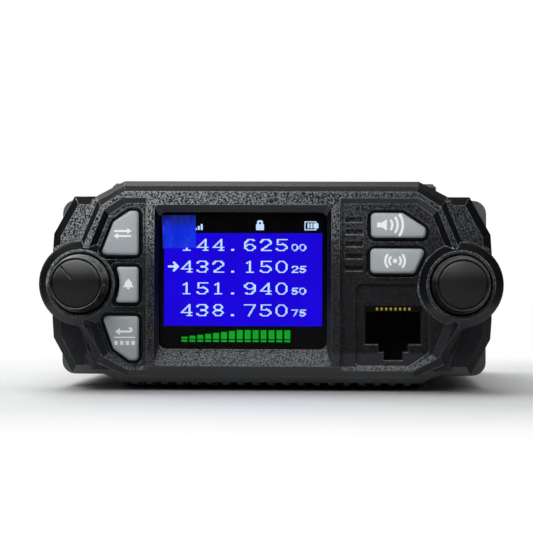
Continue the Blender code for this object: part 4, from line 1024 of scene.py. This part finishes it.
def screw(node, axis, way):
    low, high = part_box(node)
    main = "XYZ".index(axis)
    top, tip = (high, low) if way > 0 else (low, high)
    crown, end = top[main] / MM, tip[main] / MM
    radius = max(high[i] - low[i] for i in range(3) if i != main) / 2 / MM
    centre = [0.0 if i == main else value for i, value in enumerate(middle_of(node))]
    seat = crown - way * HEAD_TALL
    head = [(radius * share, crown - way * depth) for share, depth in HEAD_PROFILE]
    shank = [(SHANK_RADIUS, seat)]
    for k in range(int(abs(end - seat) / SCREW_PITCH)):
        start = seat - way * SCREW_PITCH * k
        shank += [(ROOT_RADIUS, start - way * 0.12), (SHANK_RADIUS, start - way * 0.33)]
    shank += [(0.7, end + way * 0.1), (0.0, end)]
    made = lathe(node + "_pan", centre, head + shank, 24, FINISHES[NODE_SLOTS[node]], axis=axis)
    carved(made, cross_cutter(axis, centre, crown, way, radius * 0.55))
    stand_in(smooth(made, 42.0), node)


def cross_cutter(axis, centre, crown, way, reach):
    """A tapered cross that a driver fits."""
    bm = bmesh.new()
    outline = []
    for quarter in range(4):
        turn = Matrix.Rotation(radians(45 + 90 * quarter), 2)
        outline += [turn @ Vector(corner) for corner in ((reach, -0.2), (reach, 0.2), (0.24, 0.24))]
    rings = []
    for scale, depth in ((1.15, -0.4), (1.0, 0.02), (0.55, 0.55)):
        ring = []
        for u, v in outline:
            length, angle = hypot(u, v) * scale, atan2(v, u)
            ring.append(bm.verts.new(place_on(axis, centre, length, angle, crown - way * depth)))
        rings.append(ring)
    skin(bm, rings, ends=True)
    return scene_object("cross_cutter", bm, FINISHES["dark_steel"])


# --- rear fittings
BARREL_PITCH = 1.06
BARREL_ROOT = 7.52  # radius at the bottom of the thread
THREAD_TALL = 0.32
GUARD_RINGS = (4.4, 7.0, 9.6, 12.2, 14.4)  # radii of the fan guard's rings
EYE_RADIUS = 2.0
WIRE = 0.62  # radius of the fan guard's wire


def antenna_socket():
    """The flanged antenna socket, its barrel cut with a fine thread and four keying notches."""
    low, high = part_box("antenna_socket")
    x, _, z = middle_of("antenna_socket")
    inside, wall, tip = low.y / MM, REAR_Y, high.y / MM
    thread_from, thread_to = wall + 4.2, tip - 0.7

    def thread(angle, along):
        if not thread_from <= along <= thread_to:
            return 0.0
        fade = min(1.0, (along - thread_from) / 0.5, (thread_to - along) / 0.5)
        place = ((along - thread_from) / BARREL_PITCH - angle / (2 * pi)) % 1.0
        return THREAD_TALL * fade * (1.0 - abs(2.0 * place - 1.0))

    flange = [(5.9, 0.2), (10.2, 0.2), (10.4, 0.4), (10.4, 1.8), (10.15, 2.05), (8.5, 2.5), (8.2, 2.6),
              (7.3, 2.6), (7.2, 2.9), (7.2, 3.6)]
    profile = [(5.9, inside)] + [(radius, wall + along) for radius, along in flange]
    steps = 64
    profile += [(BARREL_ROOT, thread_from + (thread_to - thread_from) * k / steps) for k in range(steps + 1)]
    profile += [(7.45, tip - 0.35), (7.2, tip), (6.75, tip), (6.6, tip - 0.15), (6.6, wall + 5.0),
                (4.7, wall + 5.0), (4.7, inside)]
    made = lathe("antenna_socket_shell", (x, 0.0, z), profile, 64, FINISHES["nickel"], closed=True,
                 swell=thread)
    bm = bmesh.new()
    for k in range(4):
        turn = radians(45 + 90 * k)
        centre = (x + 7.0 * cos(turn), 0.0, z + 7.0 * sin(turn))
        add_lathe(bm, centre, [(0.0, tip - 1.4), (0.8, tip - 1.4), (0.8, tip + 1.0), (0.0, tip + 1.0)], 12)
    carved(made, scene_object("notch_cutter", bm, FINISHES["nickel"]))
    stand_in(smooth(made, 32.0), "antenna_socket")


def add_tube(bm, points, radius, closed=False, sides=10):
    """Adds a round bar through the points, all of them in one plane across y."""
    rings = []
    count = len(points)
    for i, here in enumerate(points):
        before = points[i - 1] if i or closed else here
        after = points[(i + 1) % count] if i + 1 < count or closed else here
        along = (Vector(after) - Vector(before)).normalized()
        out = Vector((-along.z, 0.0, along.x))
        ring = []
        for k in range(sides):
            angle = 2 * pi * k / sides
            depth = Vector((0.0, radius * sin(angle), 0.0))
            ring.append(bm.verts.new((Vector(here) + out * (radius * cos(angle)) + depth) * MM))
        rings.append(ring)
    skin(bm, rings, closed, ends=not closed)


def ring_points(x, y, z, radius, count):
    angles = [2 * pi * k / count for k in range(count)]
    return [(x + radius * cos(angle), y, z + radius * sin(angle)) for angle in angles]


def fan_guard():
    """Welded wire: rings over a cross of spokes, each spoke's end bent into an eye for a screw."""
    low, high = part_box("fan_guard")
    x, _, z = middle_of("fan_guard")
    y = (low.y + high.y) / 2 / MM
    bm = bmesh.new()
    for radius in GUARD_RINGS:
        add_tube(bm, ring_points(x, y + 0.25, z, radius, 56), WIRE, closed=True)
    for k in (1, 2, 3, 4):
        sx, _, sz = middle_of(f"fan_screw_{k}")
        out = Vector((sx - x, 0.0, sz - z)).normalized()
        add_tube(bm, ring_points(sx, y - 0.3, sz, EYE_RADIUS, 20), WIRE * 0.95, closed=True, sides=8)
        start = Vector((x, y - 0.35, z)) + out * 3.6
        end = Vector((sx, y - 0.35, sz)) - out * EYE_RADIUS
        add_tube(bm, [start, (start + end) / 2, end], WIRE)
    stand_in(smooth(scene_object("fan_guard_wires", bm, FINISHES["black_paint"]), 60.0), "fan_guard")


# --- assembly
def carried_over():
    """Parts whose CAD shape is shown as it is, each with its full finish."""
    for node, obj in frame["nodes"].items():
        obj.data.materials[0] = FINISHES[NODE_SLOTS[node]]
    frame["nodes"]["front_bezel"].data.materials[0] = bezel_plastic()


def front():
    knob("volume_knob")
    knob("channel_knob")
    refined("mic_jack_housing", "mic_socket_housing", 0.1, socket_plastic())
    refined("mic_jack_contacts", "mic_socket_springs", 0.05, socket_gold())


def rear():
    antenna_socket()
    fan_guard()
    refined("fan_rotor", "fan_rotor_blades", 0.2)
    refined("fan_frame", "fan_frame_moulding", 0.2)
    refined("cable_grommet", "cable_bush", 0.25)
    refined("power_plug", "power_plug_body", 0.5, segments=3)
    refined("speaker_jack_nut", "speaker_jack_ring", 0.2)


# --- studio: places in metres, the floor's fade in millimetres
RADIO_HALF_WIDE, RADIO_HALF_DEEP = 50.0, 58.0
FADE_START, FADE_END = 40.0, 150.0
CAMERA_AWAY = 0.480


def floor():
    """A pale tabletop that brightens into the background away from the radio."""
    f = Finish("tabletop")
    outside = []
    for axis, half in (("X", RADIO_HALF_WIDE), ("Y", RADIO_HALF_DEEP)):
        over = f.maths("SUBTRACT", f.maths("ABSOLUTE", f.along(axis)), half)
        outside.append(f.maths("MAXIMUM", over, 0.0))
    squares = [f.times(distance, distance) for distance in outside]
    away = f.maths("SQRT", f.maths("ADD", *squares))
    fade = f.band(away, FADE_START, FADE_END)
    tone = f.blend(f.noise(60.0), (0.86, 0.87, 0.875), (0.9, 0.905, 0.91))
    f.set(Base_Color=tone, Roughness=f.band(f.noise(25.0), 0.3, 0.7, 0.5, 0.62),
          Normal=f.bump(f.noise(0.6), 0.01, 0.3))
    glow = f.node("Emission")
    mix = f.node("MixShader")
    seen = f.node("LightPath").outputs["Is Camera Ray"]
    f.plug(mix.inputs[0], f.times(fade, f.maths("MAXIMUM", seen, 0.35)))
    f.plug(mix.inputs[1], f.shader.outputs[0])
    f.plug(mix.inputs[2], glow.outputs[0])
    f.tree.links.new(mix.outputs[0], f.tree.nodes["Material Output"].inputs[0])
    bm = bmesh.new()
    bmesh.ops.create_grid(bm, x_segments=8, y_segments=8, size=6.0)
    table = scene_object("tabletop", bm, f.material)
    table.location.z = -0.0002


def area_light(name, place, aim, size, power):
    data = bpy.data.lights.new(name, "AREA")
    data.shape = "RECTANGLE"
    data.size, data.size_y = size
    data.energy = power
    light = placed(bpy.data.objects.new(name, data))
    light.location = place
    light.rotation_euler = (Vector(aim) - Vector(place)).to_track_quat("-Z", "Y").to_euler()
    return light


def off_the_table(light):
    """Keeps this light off the tabletop, so that its pale tone stays even."""
    lit_by = bpy.data.collections.new(light.name + "_receivers")
    light.light_linking.receiver_collection = lit_by
    lit_by.objects.link(bpy.data.objects["tabletop"])
    lit_by.collection_objects[0].light_linking.link_state = "EXCLUDE"


def studio():
    """Soft light from above and to the left, a white room beyond it."""
    key = area_light("key", (-0.055, -0.125, 0.115), (-0.02, -0.054, 0.042), (0.2, 0.06), 0.038)
    key.data.spread = radians(70)
    off_the_table(key)
    area_light("back", (-0.22, 0.34, 0.52), (0.0, 0.0, 0.0), (0.7, 0.6), 3.6)
    area_light("overhead", (0.0, 0.0, 0.7), (0.0, 0.0, 0.0), (0.7, 0.6), 1.6)
    world = bpy.data.worlds.new("room")
    world.use_nodes = True
    nodes, links = world.node_tree.nodes, world.node_tree.links
    nodes.clear()
    direction = nodes.new("ShaderNodeTexCoord")
    split = nodes.new("ShaderNodeSeparateXYZ")
    links.new(direction.outputs["Generated"], split.inputs[0])
    sky = nodes.new("ShaderNodeMapRange")
    sky.interpolation_type = "SMOOTHSTEP"
    for setting, value in (("From Min", 0.0), ("From Max", 0.9), ("To Min", 0.03), ("To Max", 0.3)):
        sky.inputs[setting].default_value = value
    links.new(split.outputs["Z"], sky.inputs["Value"])
    room = nodes.new("ShaderNodeBackground")
    links.new(sky.outputs[0], room.inputs["Strength"])
    backdrop = nodes.new("ShaderNodeBackground")
    for background in (room, backdrop):
        background.inputs["Color"].default_value = (1.0, 1.0, 1.0, 1.0)
    path = nodes.new("ShaderNodeLightPath")
    mix = nodes.new("ShaderNodeMixShader")
    output = nodes.new("ShaderNodeOutputWorld")
    links.new(path.outputs["Is Camera Ray"], mix.inputs[0])
    links.new(room.outputs[0], mix.inputs[1])
    links.new(backdrop.outputs[0], mix.inputs[2])
    links.new(mix.outputs[0], output.inputs[0])
    bpy.context.scene.world = world


def camera():
    """From in front and a little to the right, nearly level and turned slightly towards the radio."""
    data = bpy.data.cameras.new("camera")
    data.sensor_width = 36.0
    data.lens = 36.0 * 2194 / 533
    data.clip_start = 0.01
    made = placed(bpy.data.objects.new("camera", data))
    made.location = (0.0184, FACE_Y * MM - CAMERA_AWAY, 0.0226)
    made.rotation_euler = (radians(90.535), radians(-0.23), radians(2.29))
    bpy.context.scene.camera = made


for build in (carried_over, front, keys, display, film_tab, screws, rear, floor, studio, camera):
    build()
bpy.context.scene.view_settings.view_transform = "Standard"
